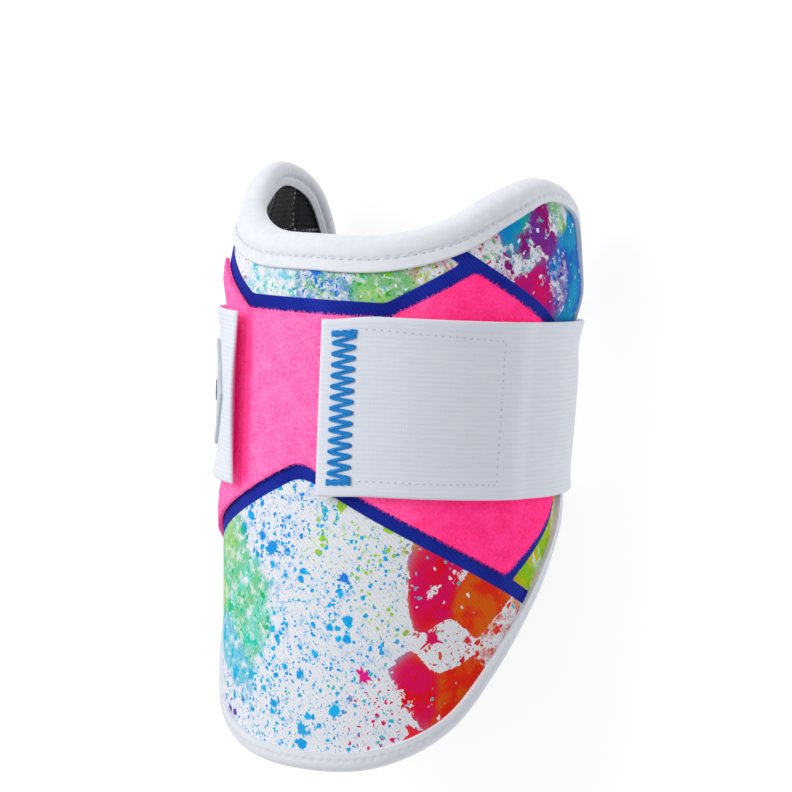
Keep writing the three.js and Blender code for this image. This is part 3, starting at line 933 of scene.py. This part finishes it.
def binding_tape():
    material, tree, shader = start_material("binding tape", 0.62, sheen=0.2)
    along = stored(tree, "along")
    across = stored(tree, "across")
    place = add(tree, "ShaderNodeCombineXYZ", {"X": along, "Y": across}).outputs[0]
    slant = reckon(tree, "ADD", along, across)
    fine = reckon(tree, "SINE", reckon(tree, "MULTIPLY", slant, 2 * math.pi / tape_rib_pitch))
    fold = noise(tree, place, 2.6, 3)
    near_stitch = between(tree, reckon(tree, "ABSOLUTE", across), 0.2, 0.9, 1, 0)
    tuck = reckon(tree, "MULTIPLY", near_stitch, reckon(tree, "SINE", reckon(tree, "MULTIPLY", along, 2.1)))
    colour = blend_colours(tree, between(tree, fold, 0.3, 0.7), ink(219, 223, 231), ink(227, 230, 236))
    # Painted shade: the tape is darkened along the stitched crease, where shade falls.
    colour = blend_colours(tree, reckon(tree, "MULTIPLY", near_stitch, 0.25), colour, ink(186, 191, 206))
    height = reckon(tree, "MULTIPLY_ADD", fine, 0.15, reckon(tree, "MULTIPLY_ADD", fold, 0.5, tuck))
    finish_material(tree, shader, colour, height, 0.07)
    return material


edge_rings, across, along = binding_rings()
binding = make_piece("binding", *ring_tube(edge_rings), binding_tape(), "binding_tape", sharp=70)
store(binding, "across", across.ravel())
store(binding, "along", along.ravel())
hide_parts("edge_binding")

# %% [markdown]
# The tape is sewn down with one row of short straight stitches in the crease. They could be a bump
# in the tape's material, but real thread throws small shadows. So each is a little capsule that is
# laid along the outline, with its ends pulled into the tape, and all of them are one mesh.

# %% Stitches
def capsules(starts, ends, normals, radius, rounds=6):
    """Points and faces of many short threads from starts to ends, which bow out along the normals."""
    t = np.array([0, 0.12, 0.35, 0.65, 0.88, 1])
    thick = np.array([0.35, 0.8, 1, 1, 0.8, 0.35]) * radius
    rise = np.array([-1.2, 0, 0.8, 0.8, 0, -1.2]) * radius
    middle = lerp(starts[:, None], ends[:, None], t[None, :, None]) + normals[:, None] * rise[None, :, None]
    line = ends - starts
    line = line / np.linalg.norm(line, axis=1)[:, None]
    side = np.cross(line, normals)
    side /= np.linalg.norm(side, axis=1)[:, None]
    top = np.cross(side, line)
    angle = np.arange(rounds) * 2 * math.pi / rounds
    ring = side[:, None, None] * np.cos(angle)[:, None] + top[:, None, None] * np.sin(angle)[:, None]
    points = middle[:, :, None] + ring * thick[:, None, None]
    count = len(starts)
    steps = len(t)
    s, i, k = np.meshgrid(np.arange(count), np.arange(steps - 1), np.arange(rounds), indexing="ij")
    a = (s * steps + i) * rounds
    n = (k + 1) % rounds
    faces = np.stack([a + k, a + n, a + rounds + n, a + rounds + k], -1).reshape(-1, 4).tolist()
    for first in range(0, count * steps * rounds, steps * rounds):
        faces.append([first + k for k in range(rounds - 1, -1, -1)])
        faces.append([first + (steps - 1) * rounds + k for k in range(rounds)])
    return points.reshape(-1, 3), faces


def thread(name, light, dark, twist):
    material, tree, shader = start_material(name, 0.5, sheen=0.1)
    place = add(tree, "ShaderNodeTexCoord").outputs["Object"]
    fibre = noise(tree, place, twist * MM, 2)
    colour = blend_colours(tree, between(tree, fibre, 0.35, 0.65), dark, light)
    finish_material(tree, shader, colour, fibre, 0.08)
    return material


white_thread = thread("white thread", ink(230, 233, 239), ink(214, 218, 227), 0.4)
binding_stitch_pitch = 2.4
binding_stitch_length = 1.5
binding_stitch_radius = 0.13

# Along the narrow band the stitches sink into the fold, and can't be seen.
stitched_band = 0.6


def binding_stitches():
    count = int(outline_length / binding_stitch_pitch)
    middle = np.arange(count) / count
    middle = middle[edge_place(middle, 0)[2] > stitched_band]
    face = touch_gap + tape_thickness
    ends = []
    for way in (-0.5, 0.5):
        share = middle + way * binding_stitch_length / outline_length
        x, y, _ = edge_place(share, crease_at(edge_place(share, 0)[2]))
        ends.append(wall_point(x, y, face - crease_depth + 0.18))
    outward = wall_point(x, y, face + 1) - ends[-1]
    outward /= np.linalg.norm(outward, axis=1)[:, None]
    return capsules(*ends, outward, binding_stitch_radius)


make_piece("binding_stitches", *binding_stitches(), white_thread, "binding_tape")

# %% [markdown]
# The loop panel is a knitted cloth whose pile of small loops holds the hooks of the strap. Velvet
# like this is often only a material with sheen. Its soft outline shows here, so a bright pink sheet
# gives its body and short fibres stand on it. The dye looks fluorescent, brighter than the light on
# it, so the cloth has a faint painted glow of its own. The pink is also painted deeper as painted
# shade: a painted shadow beside the strap's lifted end, and painted shade towards the right side.

# %% Loop panel
panel_rows = 90


def panel_sides(x):
    """Bottom and top of the panel at unrolled places x."""
    return line_height(x, PANEL_BOTTOM), line_height(x, PANEL_TOP)


def panel_columns():
    """Unrolled places of the panel's columns, one of them at each of its corners."""
    spans = zip(PANEL_ROUND[:-1], PANEL_ROUND[1:])
    half = [np.linspace(a, b, max(2, int((b - a) / 1.3)), endpoint=False) for a, b in spans]
    half = np.append(np.concatenate(half), PANEL_ROUND[-1])
    return np.concatenate([-half[:0:-1], half])


def pile_painted_shade(x, y):
    """Where the pink is painted deeper: a painted shadow by the strap's lifted end, and painted shade
    towards the right side.
    """
    end = side_end_angle * wall_radius
    end_shadow = np.exp(-(((x - end - 1.5) / 2.6) ** 2)) * (1 - smooth((np.abs(y) - 22) / 5))
    return np.clip(0.75 * end_shadow + 0.78 * smooth((x - 5) / 45), 0, 1)


# Painted glow: the pink cloth emits a little light of its own, though it is no lamp.
pink_painted_glow = 0.27


def pink_cloth(name, rough_height):
    material, tree, shader = start_material(name, 0.95, sheen=0.12, sheen_roughness=0.6)
    shader.inputs["Sheen Tint"].default_value = ink(255, 150, 205)
    shader.inputs["Specular IOR Level"].default_value = 0.1
    shader.inputs["Emission Color"].default_value = ink(255, 0, 112)
    shader.inputs["Emission Strength"].default_value = pink_painted_glow
    place = stored(tree, "wrap", "Vector")
    mottle = between(tree, noise(tree, place, 6, 4, 0.65), 0.32, 0.68)
    fluff = noise(tree, place, 0.9, 3, 0.7)
    colour = blend_colours(tree, mottle, ink(255, 84, 166), ink(255, 124, 190))
    colour = blend_colours(tree, between(tree, fluff, 0.45, 0.8), colour, ink(255, 162, 210))
    # Painted shadow and shade: the pink is mixed towards a deeper pink by the stored shade of the pile.
    shaded_pink = blend_colours(tree, mottle, ink(236, 0, 100), ink(255, 30, 138))
    colour = blend_colours(tree, stored(tree, "pile_shade"), colour, shaded_pink)
    finish_material(tree, shader, colour, reckon(tree, "MULTIPLY_ADD", mottle, 0.6, fluff), rough_height)
    return material


panel_x = panel_columns()
low, high = panel_sides(panel_x)
panel_x = np.repeat(panel_x[:, None], panel_rows + 1, 1)
panel_y = lerp(low[:, None], high[:, None], np.linspace(0, 1, panel_rows + 1)[None])
rng = np.random.default_rng(11)
nap = 0.1 * rng.standard_normal(panel_x.shape)
panel = make_piece(
    "panel_cloth",
    *thick_sheet(
        wall_point(panel_x, panel_y, touch_gap + panel_thickness + np.clip(nap, -0.25, 0.25)),
        wall_point(panel_x, panel_y, touch_gap),
    ),
    pink_cloth("pink loop cloth", 0.35),
    "loop_fabric",
)
store(panel, "pile_shade", pile_painted_shade(*store_wrap(panel, panel_x, panel_y)))
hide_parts("loop_panel")

# %% [markdown]
# The pile could be a hair system, but hair isn't a mesh until it is converted. These fibres are
# short curly ribbons that numpy scatters over the panel in one mesh, more of them along its cut
# edges, where they stick out over the navy band.

# %% Pile of the loop panel
pile_count = 23500
edge_pile_count = 8500
side_pile_count = 500
pile_length = 0.8
pile_width = 0.07


def pile():
    """Points and faces of short curly ribbons that stand on the panel and lean every way."""
    width = panel_x[-1, 0]
    x = rng.uniform(-width, width, pile_count)
    low, high = panel_sides(x)
    y = lerp(low, high, rng.uniform(0, 1, pile_count))
    edge_x = rng.uniform(-width, width, edge_pile_count)
    low, high = panel_sides(edge_x)
    edge_y = np.where(rng.uniform(0, 1, edge_pile_count) < 0.5, low + 0.25, high - 0.25)
    side_x = width * rng.choice([-1, 1], side_pile_count) * 0.997
    low, high = panel_sides(side_x)
    side_y = lerp(low, high, rng.uniform(0, 1, side_pile_count))
    x = np.concatenate([x, edge_x, side_x])
    y = np.concatenate([y, edge_y, side_y])
    count = len(x)
    heading = rng.uniform(0, 2 * math.pi, count)
    curl = heading + rng.uniform(-1.6, 1.6, count)
    reach = pile_length * rng.uniform(0.6, 1.3, count)
    base = touch_gap + panel_thickness * 0.7
    steps = [(0, 0, 0), (0.3, 0, 0.42), (0.65, 0.35, 0.6), (0.75, 0.9, 0.38)]
    rows = []
    for ahead, bend, rise in steps:
        px = x + reach * (ahead * np.cos(heading) + bend * 0.5 * np.cos(curl))
        py = y + reach * (ahead * np.sin(heading) + bend * 0.5 * np.sin(curl))
        for way in (-0.5, 0.5):
            wx = px - way * pile_width * np.sin(heading)
            wy = py + way * pile_width * np.cos(heading)
            rows.append(wall_point(wx, wy, base + rise * reach * 0.75))
    points = np.stack(rows, 1)
    first = np.arange(count)[:, None, None] * len(rows)
    strip = np.array([[2 * k, 2 * k + 1, 2 * k + 3, 2 * k + 2] for k in range(len(steps) - 1)])
    faces = (first + strip[None]).reshape(-1, 4)
    return points.reshape(-1, 3), faces, np.repeat(np.column_stack([x, y, 0 * x]), len(rows), 0)


points, faces, roots = pile()
fibres = make_piece("panel_pile", points, faces, pink_cloth("pink fibres", 0.02), "loop_fabric", sharp=180)
store(fibres, "wrap", roots)
store(fibres, "pile_shade", pile_painted_shade(roots[:, 0], roots[:, 1]))

# %% [markdown]
# One elastic strap goes round the guard. It starts at its stitched end on the front, passes the
# right back edge, lies flat on the floor under the guard and comes round the left side, where its
# end with the badge lifts a little. Cloth simulation could tighten it, but would move it off the
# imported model. Its line is worked out instead for each place across its width, because the padding
# under its edges is squeezed less.

# %% The strap's line
strap_radius = float(girth_at(0)) + touch_gap + panel_thickness
on_panel = touch_gap + panel_thickness + touch_gap
on_hook = on_panel + hook_thickness + touch_gap
back_edge_angle = float(np.abs(np.arctan2(edge_rings[..., 0], edge_rings[..., 2] - axis_height)).max())
leave_angle = back_edge_angle - (bend_length + roll_reach) / strap_radius
print("strap leaves the wall at, degrees:", round(math.degrees(leave_angle), 1))

# The strap's growth in width below and above its middle, and the angles over which it comes and goes.
wider_below = 0.9
wider_above = 1.6
widening_end = 2.05
widening_reach = 0.3


def length_from(angle, end):
    return np.abs(angle - end) * strap_radius


def widening(angle, y):
    """The strap runs a little wider and higher across the front and the right side."""
    start = smooth((angle - front_end_angle) / widening_reach)
    end = 1 - smooth((np.abs(angle) - widening_end) / widening_reach)
    return start * end * lerp(wider_below, wider_above, y / strap_width + 0.5)


def strap_seat(angle, y):
    """How far the strap's inner face lies out from the wall."""
    front = angle > (front_end_angle + side_end_angle) / 2
    past_front = length_from(angle, front_end_angle) - front_hook_inset - front_hook_length
    past_side = length_from(angle, side_end_angle) - side_hook_inset - side_hook_length
    past = np.where(front, past_front, past_side) - hook_clearance
    seat = lerp(on_hook, on_panel, smooth(past / step_down_length))
    near = 1 - length_from(angle, side_end_angle) / end_lift_length
    across = np.minimum(1, np.abs(y) / (strap_width / 2)) ** 2
    lift = lerp(end_lift, corner_lift, across) * np.maximum(0, near) ** 2
    return seat + np.where(front, 0, lift)


def strap_line(y, side_end):
    """Points of the strap's inner face with their outward directions, at one place across its width."""

    def on_wall(angle):
        out = np.stack([np.sin(angle), 0 * angle, np.cos(angle)], -1)
        reach = radius_at(angle, y) + strap_seat(angle, y)
        rise = np.where(angle > 0, widening(angle, y), 0)
        return out * reach[:, None] + np.stack([0 * angle, y + rise, 0 * angle + axis_height], -1), out

    front_points, front_outs = on_wall(np.linspace(front_end_angle, leave_angle, 150))
    side_points, side_outs = on_wall(np.linspace(-leave_angle, side_end, 130))
    leave = front_points[-1]
    down = np.array([math.cos(leave_angle), 0, -math.sin(leave_angle)])
    to_flat = (strap_thickness - leave[2]) / down[2]
    knee = leave + down * to_flat
    landing = knee - (to_flat, 0, 0)
    t = np.linspace(0, 1, 31)[1:, None]
    bend = (1 - t) ** 3 * leave + 3 * t * (1 - t) * knee + t**3 * landing
    slope = (1 - t) ** 2 * (knee - leave) + t**2 * (landing - knee)
    slope /= np.linalg.norm(slope, axis=1)[:, None]
    bend_outs = np.column_stack([-slope[:, 2], 0 * slope[:, 1], slope[:, 0]])
    flat_x = np.linspace(landing[0], -landing[0], 42)[1:-1]
    flat = np.column_stack([flat_x, 0 * flat_x + y, 0 * flat_x + strap_thickness])
    flat_outs = np.tile((0, 0, -1.0), (len(flat_x), 1))
    flip = (-1, 1, 1)
    points = np.concatenate([front_points, bend, flat, bend[::-1] * flip, side_points])
    outs = np.concatenate([front_outs, bend_outs, flat_outs, bend_outs[::-1] * flip, side_outs])
    return points, outs


# %% [markdown]
# The webbing has fine lengthwise ribs of rubber thread under a white knit. Modelled ribs would take
# a point each tenth of a millimetre, so they are a bump and a faint painted shade in the grooves
# between the ribs and the picks. Its thickness, its rounded edges and its slightly bowed ends change
# the outline, so they are real.

# %% Strap
rib_pitch = 1.3
pick_pitch = 0.8
selvage = 1.0
selvage_steps = np.array([0, 0.12, 0.35, 0.7])
end_bow = 0.6


def strap_webbing():
    material, tree, shader = start_material("elastic webbing", 0.72, sheen=0.12)
    along = stored(tree, "along")
    across = stored(tree, "across")
    place = add(tree, "ShaderNodeCombineXYZ", {"X": along, "Y": across}).outputs[0]
    slow = reckon(tree, "MULTIPLY", along, 0.12)
    stretched = add(tree, "ShaderNodeCombineXYZ", {"X": slow, "Y": across}).outputs[0]
    rib = reckon(tree, "SINE", reckon(tree, "MULTIPLY", across, 2 * math.pi / rib_pitch))
    pick = reckon(tree, "SINE", reckon(tree, "MULTIPLY", along, 2 * math.pi / pick_pitch))
    grain = noise(tree, place, 0.5, 2)
    streak = noise(tree, stretched, 0.9, 3)
    colour = blend_colours(tree, between(tree, streak, 0.3, 0.7), ink(219, 224, 234), ink(224, 229, 238))
    # Painted shade: the colour darkens a little in the grooves between the ribs and the picks.
    rib_groove_shade = reckon(tree, "MAXIMUM", between(tree, rib, -1, 0, 0.09, 0), between(tree, pick, -1, 0, 0.07, 0))
    colour = blend_colours(tree, rib_groove_shade, colour, ink(150, 158, 176))
    height = reckon(tree, "MULTIPLY_ADD", pick, 0.5, reckon(tree, "MULTIPLY_ADD", grain, 0.8, rib))
    finish_material(tree, shader, colour, height, 0.016)
    return material


def places_across(width, rim, steps, count):
    """Places across a strip, close together on the rim at each of its edges."""
    side = steps - width / 2
    flat = np.linspace(rim - width / 2, width / 2 - rim, count)
    return np.concatenate([side, flat, -side[::-1]])


def edge_rounding(across, width, rim, thinnest):
    """A strip's share of its full thickness at places across, round at its edges."""
    past = np.clip((np.abs(across) - width / 2 + rim) / rim, 0, 1)
    return np.sqrt(np.clip(1 - past**2, thinnest, 1))


def strap_grid():
    """Inner points, outward directions and places across, for the strap's full width."""
    across = places_across(strap_width, selvage, selvage_steps, 45)
    bow = end_bow / strap_radius * (across / across[-1]) ** 2
    lines = [strap_line(y, side_end_angle + angle) for y, angle in zip(across, bow)]
    points, outs = (np.stack(side, 1) for side in zip(*lines))
    return points, outs, across


inner, outs, across = strap_grid()
rounding = edge_rounding(across, strap_width, selvage, 0.02)
hem = np.ones(inner.shape[0])
hem[0] = hem[-1] = 0.35
hem[1] = hem[-2] = 0.85
half = strap_thickness / 2
full = (rounding[None, :] * hem[:, None] * half)[..., None]
strap = make_piece(
    "strap_webbing",
    *thick_sheet(inner + outs * (half + full), inner + outs * (half - full)),
    strap_webbing(),
    "elastic_webbing",
    sharp=75,
)
run = np.concatenate([[0], np.cumsum(np.linalg.norm(np.diff(inner[:, len(across) // 2], axis=0), axis=1))])
store(strap, "along", np.tile(np.repeat(run, len(across)), 2))
store(strap, "across", np.tile(np.tile(across, len(run)), 2))
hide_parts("strap")

# %% [markdown]
# The strap's front end is held by a dense zigzag of blue thread and by a box of small straight
# stitches. Both could be bent along the strap by a Curve modifier. It is simpler to ask for the
# place of each point on the strap, by its length from the front end.

# %% Place on the strap
def on_strap(from_end, y, rise):
    """A point above the strap's outer face: a length from the front end, a place across, and a height."""
    angle = front_end_angle + np.asarray(from_end) / strap_radius
    out = np.stack([np.sin(angle), 0 * angle, np.cos(angle)], -1)
    reach = radius_at(angle, y) + strap_seat(angle, y) + strap_thickness + rise
    foot = np.stack([0 * angle, y + widening(angle, y), 0 * angle + axis_height], -1)
    return foot + out * reach[..., None], out


# %% [markdown]
# Seen close, the zigzag is several strands side by side. One thick tube would look like cord, so
# three thin tubes are laid over the webbing in one continuous run, with a few straight strands
# across each end.

# %% Zigzag
zigzag_from_end = 3.5
zigzag_width = 6.5
zigzag_half_length = 21.3
zigzag_turns = 14
strand_radius = 0.24
strand_gap = 0.34

blue_thread = thread("blue thread", ink(0, 150, 224), ink(0, 108, 186), 0.35)


def thread_tube(line, outs, radius, rounds=7):
    step = np.gradient(line, axis=0)
    step /= np.linalg.norm(step, axis=1)[:, None]
    side = np.cross(step, outs)
    side /= np.linalg.norm(side, axis=1)[:, None]
    top = np.cross(side, step)
    angle = -np.arange(rounds) * 2 * math.pi / rounds
    ring = side[:, None] * np.cos(angle)[:, None] + top[:, None] * np.sin(angle)[:, None]
    return ring_tube(line[:, None] + ring * radius, closed=False)


def joined(parts):
    points = []
    faces = []
    count = 0
    for part_points, part_faces in parts:
        points.append(part_points)
        faces.extend([[count + k for k in face] for face in part_faces])
        count += len(part_points)
    return np.concatenate(points), faces


def zigzag_strands():
    t = np.linspace(0, 1, zigzag_turns * 2 * 7 + 1)
    swing = np.arcsin(np.sin((t * zigzag_turns * 2 - 0.5) * math.pi)) / math.pi + 0.5
    swing = lerp(swing, smooth(swing), 0.35)
    strands = []
    for k in (-1, 0, 1):
        from_end = zigzag_from_end + zigzag_width * swing
        y = zigzag_half_length * (1 - 2 * t) + k * strand_gap
        rise = 0.16 + 0.12 * np.sin(t * 91 + k * 2.1)
        points, outs = on_strap(from_end, y, rise)
        strands.append(thread_tube(points, outs, strand_radius))
    for end in (-1, 1):
        for row in range(4):
            from_end = zigzag_from_end + np.linspace(-0.2, zigzag_width + 0.2, 24)
            y = end * (zigzag_half_length + 0.2 - 0.42 * row) + 0.12 * np.sin(from_end * 3 + row)
            points, outs = on_strap(from_end, y, 0.22 + 0 * y)
            strands.append(thread_tube(points, outs, strand_radius))
    return joined(strands)


make_piece("zigzag_thread", *zigzag_strands(), blue_thread, "elastic_webbing", sharp=180)

# %% [markdown]
# The box is sewn with a finer thread in the strap's own colour, which hardly shows but for its dots
# of shade. Here the thread is painted grey, darker than the webbing, as painted shade of those dots.
# It uses the same capsules as the binding's stitches, a little sunk into the webbing.

# %% Box of stitches
box_corners = [(11.5, 21.6), (52.4, 19.6), (52.6, -20.6), (11.5, -20.6)]
stitch_spacing = 1.95
stitch_length = 0.8
stitch_radius = 0.17


def stitch_row(start, end):
    start = np.array(start, float)
    end = np.array(end, float)
    span = np.linalg.norm(end - start)
    count = int(span / stitch_spacing)
    first = (np.arange(count) + 0.5) / count
    half = stitch_length / span / 2
    return [start + (end - start) * (first + way * half)[:, None] for way in (-1, 1)]


def box_stitches():
    parts = []
    for a, b in zip(box_corners, box_corners[1:]):
        starts, ends = stitch_row(a, b)
        start_points, outs = on_strap(starts[:, 0], starts[:, 1], -0.05)
        end_points, _ = on_strap(ends[:, 0], ends[:, 1], -0.05)
        parts.append(capsules(start_points, end_points, outs, stitch_radius))
    return joined(parts)


# Painted shade: the box's thread is painted grey, darker than the webbing, for the shade of its stitch
# holes.
box_thread_painted_shade = thread("grey thread painted shade", ink(206, 209, 217), ink(180, 184, 194), 0.5)
make_piece("box_stitches", *box_stitches(), box_thread_painted_shade, "elastic_webbing", sharp=180)

# %% [markdown]
# Two hook tabs are sewn under the strap's ends. Real hook tape has thousands of small plastic
# hooks, which only its edge would show. So each tab is a thin sheet with rounded edges whose
# material has the small grid of the hooks as a bump, with painted shade between the hooks.

# %% Hook tabs
hook_pitch = 1.1
hook_rim = 0.6
hook_rim_steps = np.array([0, 0.1, 0.3])


def hook_cloth():
    material, tree, shader = start_material("hook tape", 0.55)
    place = stored(tree, "wrap", "Vector")
    hook = {"Vector": place, "Scale": 1 / hook_pitch, "Randomness": 0.25}
    dots = add(tree, "ShaderNodeTexVoronoi", hook).outputs["Distance"]
    dots = between(tree, dots, 0.1, 0.5, 1, 0)
    # Painted light and shade: the hooks are painted lighter and the gaps between them darker.
    colour = blend_colours(tree, dots, ink(188, 192, 200), ink(232, 234, 238))
    finish_material(tree, shader, colour, dots, 0.3)
    return material


hook_material = hook_cloth()


def hook_tab(name, start, end, node):
    across = places_across(hook_width, hook_rim, hook_rim_steps, 33)
    angle, y = np.meshgrid(np.linspace(start, end, 70), across, indexing="ij")
    seat = strap_seat(angle, y) - touch_gap
    rounding = edge_rounding(y, hook_width, hook_rim, 0.05)
    half = hook_thickness / 2
    x = angle * wall_radius
    faces = [wall_point(x, y, seat - half + way * half * rounding) for way in (1, -1)]
    tab = make_piece(name, *thick_sheet(*faces), hook_material, "hook_tape", sharp=75)
    store_wrap(tab, x, y)
    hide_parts(node)


hook_from = front_end_angle + front_hook_inset / strap_radius
hook_tab("hook_tab_front", hook_from, hook_from + front_hook_length / strap_radius, "front_hook_tab")
hook_to = side_end_angle - side_hook_inset / strap_radius
hook_tab("hook_tab_side", hook_to - side_hook_length / strap_radius, hook_to, "side_hook_tab")

# %% [markdown]
# The badge is one moulding of grey rubber: a hexagon with a bevelled rim, a sunk face and a round
# button. A Bevel modifier could round its edges, but it would have to be bent to the strap
# afterwards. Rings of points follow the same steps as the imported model's instead, already on the
# strap's curve, with many small facets round each edge.

# %% Badge
badge_rim = 2.4
badge_recess = 0.3
badge_bevel = 0.5
badge_boss = 3.2
badge_sink = -0.15
button_rings = 9
per_side = 18


def moulded_rubber(name, light, dark):
    material, tree, shader = start_material(name, 0.5)
    place = add(tree, "ShaderNodeTexCoord").outputs["Object"]
    grain = noise(tree, place, 0.6 * MM, 3, 0.6)
    cloud = noise(tree, place, 9 * MM, 2)
    colour = blend_colours(tree, between(tree, cloud, 0.3, 0.7), dark, light)
    finish_material(tree, shader, colour, grain, 0.05)
    return material


def badge_rings():
    tip = badge_across / math.sqrt(3)
    centre = side_end_angle - (badge_tip_inset + tip) / strap_radius
    corner = np.radians(np.arange(6) * 60)
    corners = tip * np.column_stack([np.cos(corner), np.sin(corner)])
    t = np.arange(per_side)[:, None] / per_side
    hexagon = np.concatenate([lerp(corners[k], corners[(k + 1) % 6], t) for k in range(6)])
    circle = hexagon / np.linalg.norm(hexagon, axis=1)[:, None]

    def place(p, height):
        angle = centre + p[:, 0] / strap_radius
        out = strap_seat(angle, p[:, 1]) + strap_thickness + badge_sink + height
        return wall_point(angle * wall_radius, p[:, 1], out)

    def shrunk(by, height):
        round_corner = smooth((by + 1.2) / 1.2) * 0.04
        shape = lerp(hexagon, circle * badge_across / 2 * 1.05, round_corner)
        return place(shape * (1 - by / (badge_across / 2)), height)

    def disc(radius, height):
        return place(circle * radius, height)

    face = badge_thickness - badge_recess
    rows = [disc(0.4, 0), disc(6, 0), disc(12, 0), shrunk(0.1, 0), shrunk(0, 0.1)]
    rows += [shrunk(0, badge_thickness - badge_bevel)]
    for k in range(1, 7):
        a = k / 6 * math.pi / 2
        height = badge_thickness - badge_bevel * (1 - math.sin(a))
        rows.append(shrunk(badge_bevel * (1 - math.cos(a)), height))
    for k in range(0, 7):
        t = k / 6
        rows.append(shrunk(badge_rim + badge_recess * t, lerp(badge_thickness, face, smooth(t))))
    rows += [shrunk(lerp(badge_rim + badge_recess, 9.2, t), face) for t in (0.25, 0.5, 0.75, 1)]
    rows += [disc(badge_boss * 1.3, face), disc(badge_boss, face)]
    for k in range(1, 6):
        a = k / 5 * math.pi / 2
        rows.append(disc(badge_boss - badge_recess * (1 - math.cos(a)), face + badge_recess * math.sin(a)))
    rows += [disc(badge_boss * share, badge_thickness + 0.1 * (1 - share)) for share in (0.6, 0.3, 0.05)]
    return np.stack(rows)


rings = badge_rings()
badge_points, badge_faces = ring_tube(rings, closed=False)
badge = make_piece(
    "badge_moulding",
    badge_points,
    [face[::-1] for face in badge_faces],
    moulded_rubber("grey rubber", ink(194, 203, 211), ink(178, 188, 197)),
    "moulded_rubber",
    sharp=40,
)
badge.data.materials.append(moulded_rubber("navy rubber", ink(36, 48, 140), ink(22, 30, 104)))
first_button_point = (len(rings) - button_rings) * 6 * per_side
button_faces = [p for p in badge.data.polygons if min(p.vertices) >= first_button_point]
for polygon in button_faces:
    polygon.material_index = 1
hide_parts("badge")
print("badge's button has", len(button_faces), "faces")

# %% [markdown]
# The guard lies on a light table, a grey matt floor that glows white, as photographers use to keep
# shadows faint. A plain white floor would need a strong light, which bleaches the cloth. A large
# soft light from the upper left models the folds, and the pale surroundings fill the right side.

# %% Floor and light
floor_glow = 0.86
floor_half = 3


def floor_material():
    material, tree, shader = start_material("studio floor", 0.9)
    place = add(tree, "ShaderNodeTexCoord").outputs["Object"]
    cloud = noise(tree, place, 0.25, 2)
    colour = blend_colours(tree, cloud, ink(118, 118, 121), ink(126, 126, 128))
    finish_material(tree, shader, colour, cloud, 0.01)
    shader.inputs["Emission Color"].default_value = (1, 1, 1, 1)
    shader.inputs["Emission Strength"].default_value = floor_glow
    return material


def area_light(name, direction, aim, away, size, power, colour):
    data = bpy.data.lights.new(name, "AREA")
    data.size = size
    data.energy = power
    data.color = colour
    light = bpy.data.objects.new(name, data)
    bpy.context.scene.collection.objects.link(light)
    direction = Vector(direction).normalized()
    light.location = Vector(aim) + direction * away
    light.rotation_euler = direction.to_track_quat("Z", "Y").to_euler()
    return light


floor_mesh = bpy.data.meshes.new("floor")
floor_corners = [(x * floor_half, y * floor_half, 0) for x, y in ((-1, -1), (1, -1), (1, 1), (-1, 1))]
floor_mesh.from_pydata(floor_corners, [], [(0, 1, 2, 3)])
floor_mesh.materials.append(floor_material())
floor = bpy.data.objects.new("floor", floor_mesh)
bpy.context.scene.collection.objects.link(floor)

key = area_light(
    "key",
    direction=(-0.42, 0.4, 0.85),
    aim=(0, 0, axis_height * MM),
    away=1.1,
    size=0.6,
    power=7.3,
    colour=(1.0, 0.99, 0.97),
)

world = bpy.data.worlds.new("studio")
world.use_nodes = True
surroundings = world.node_tree.nodes["Background"]
surroundings.inputs["Color"].default_value = (0.97, 0.98, 1.0, 1.0)
surroundings.inputs["Strength"].default_value = 0.6
bpy.context.scene.world = world
bpy.context.scene.view_settings.view_transform = "Standard"
print("key light stands at, m:", [round(side, 2) for side in key.location])
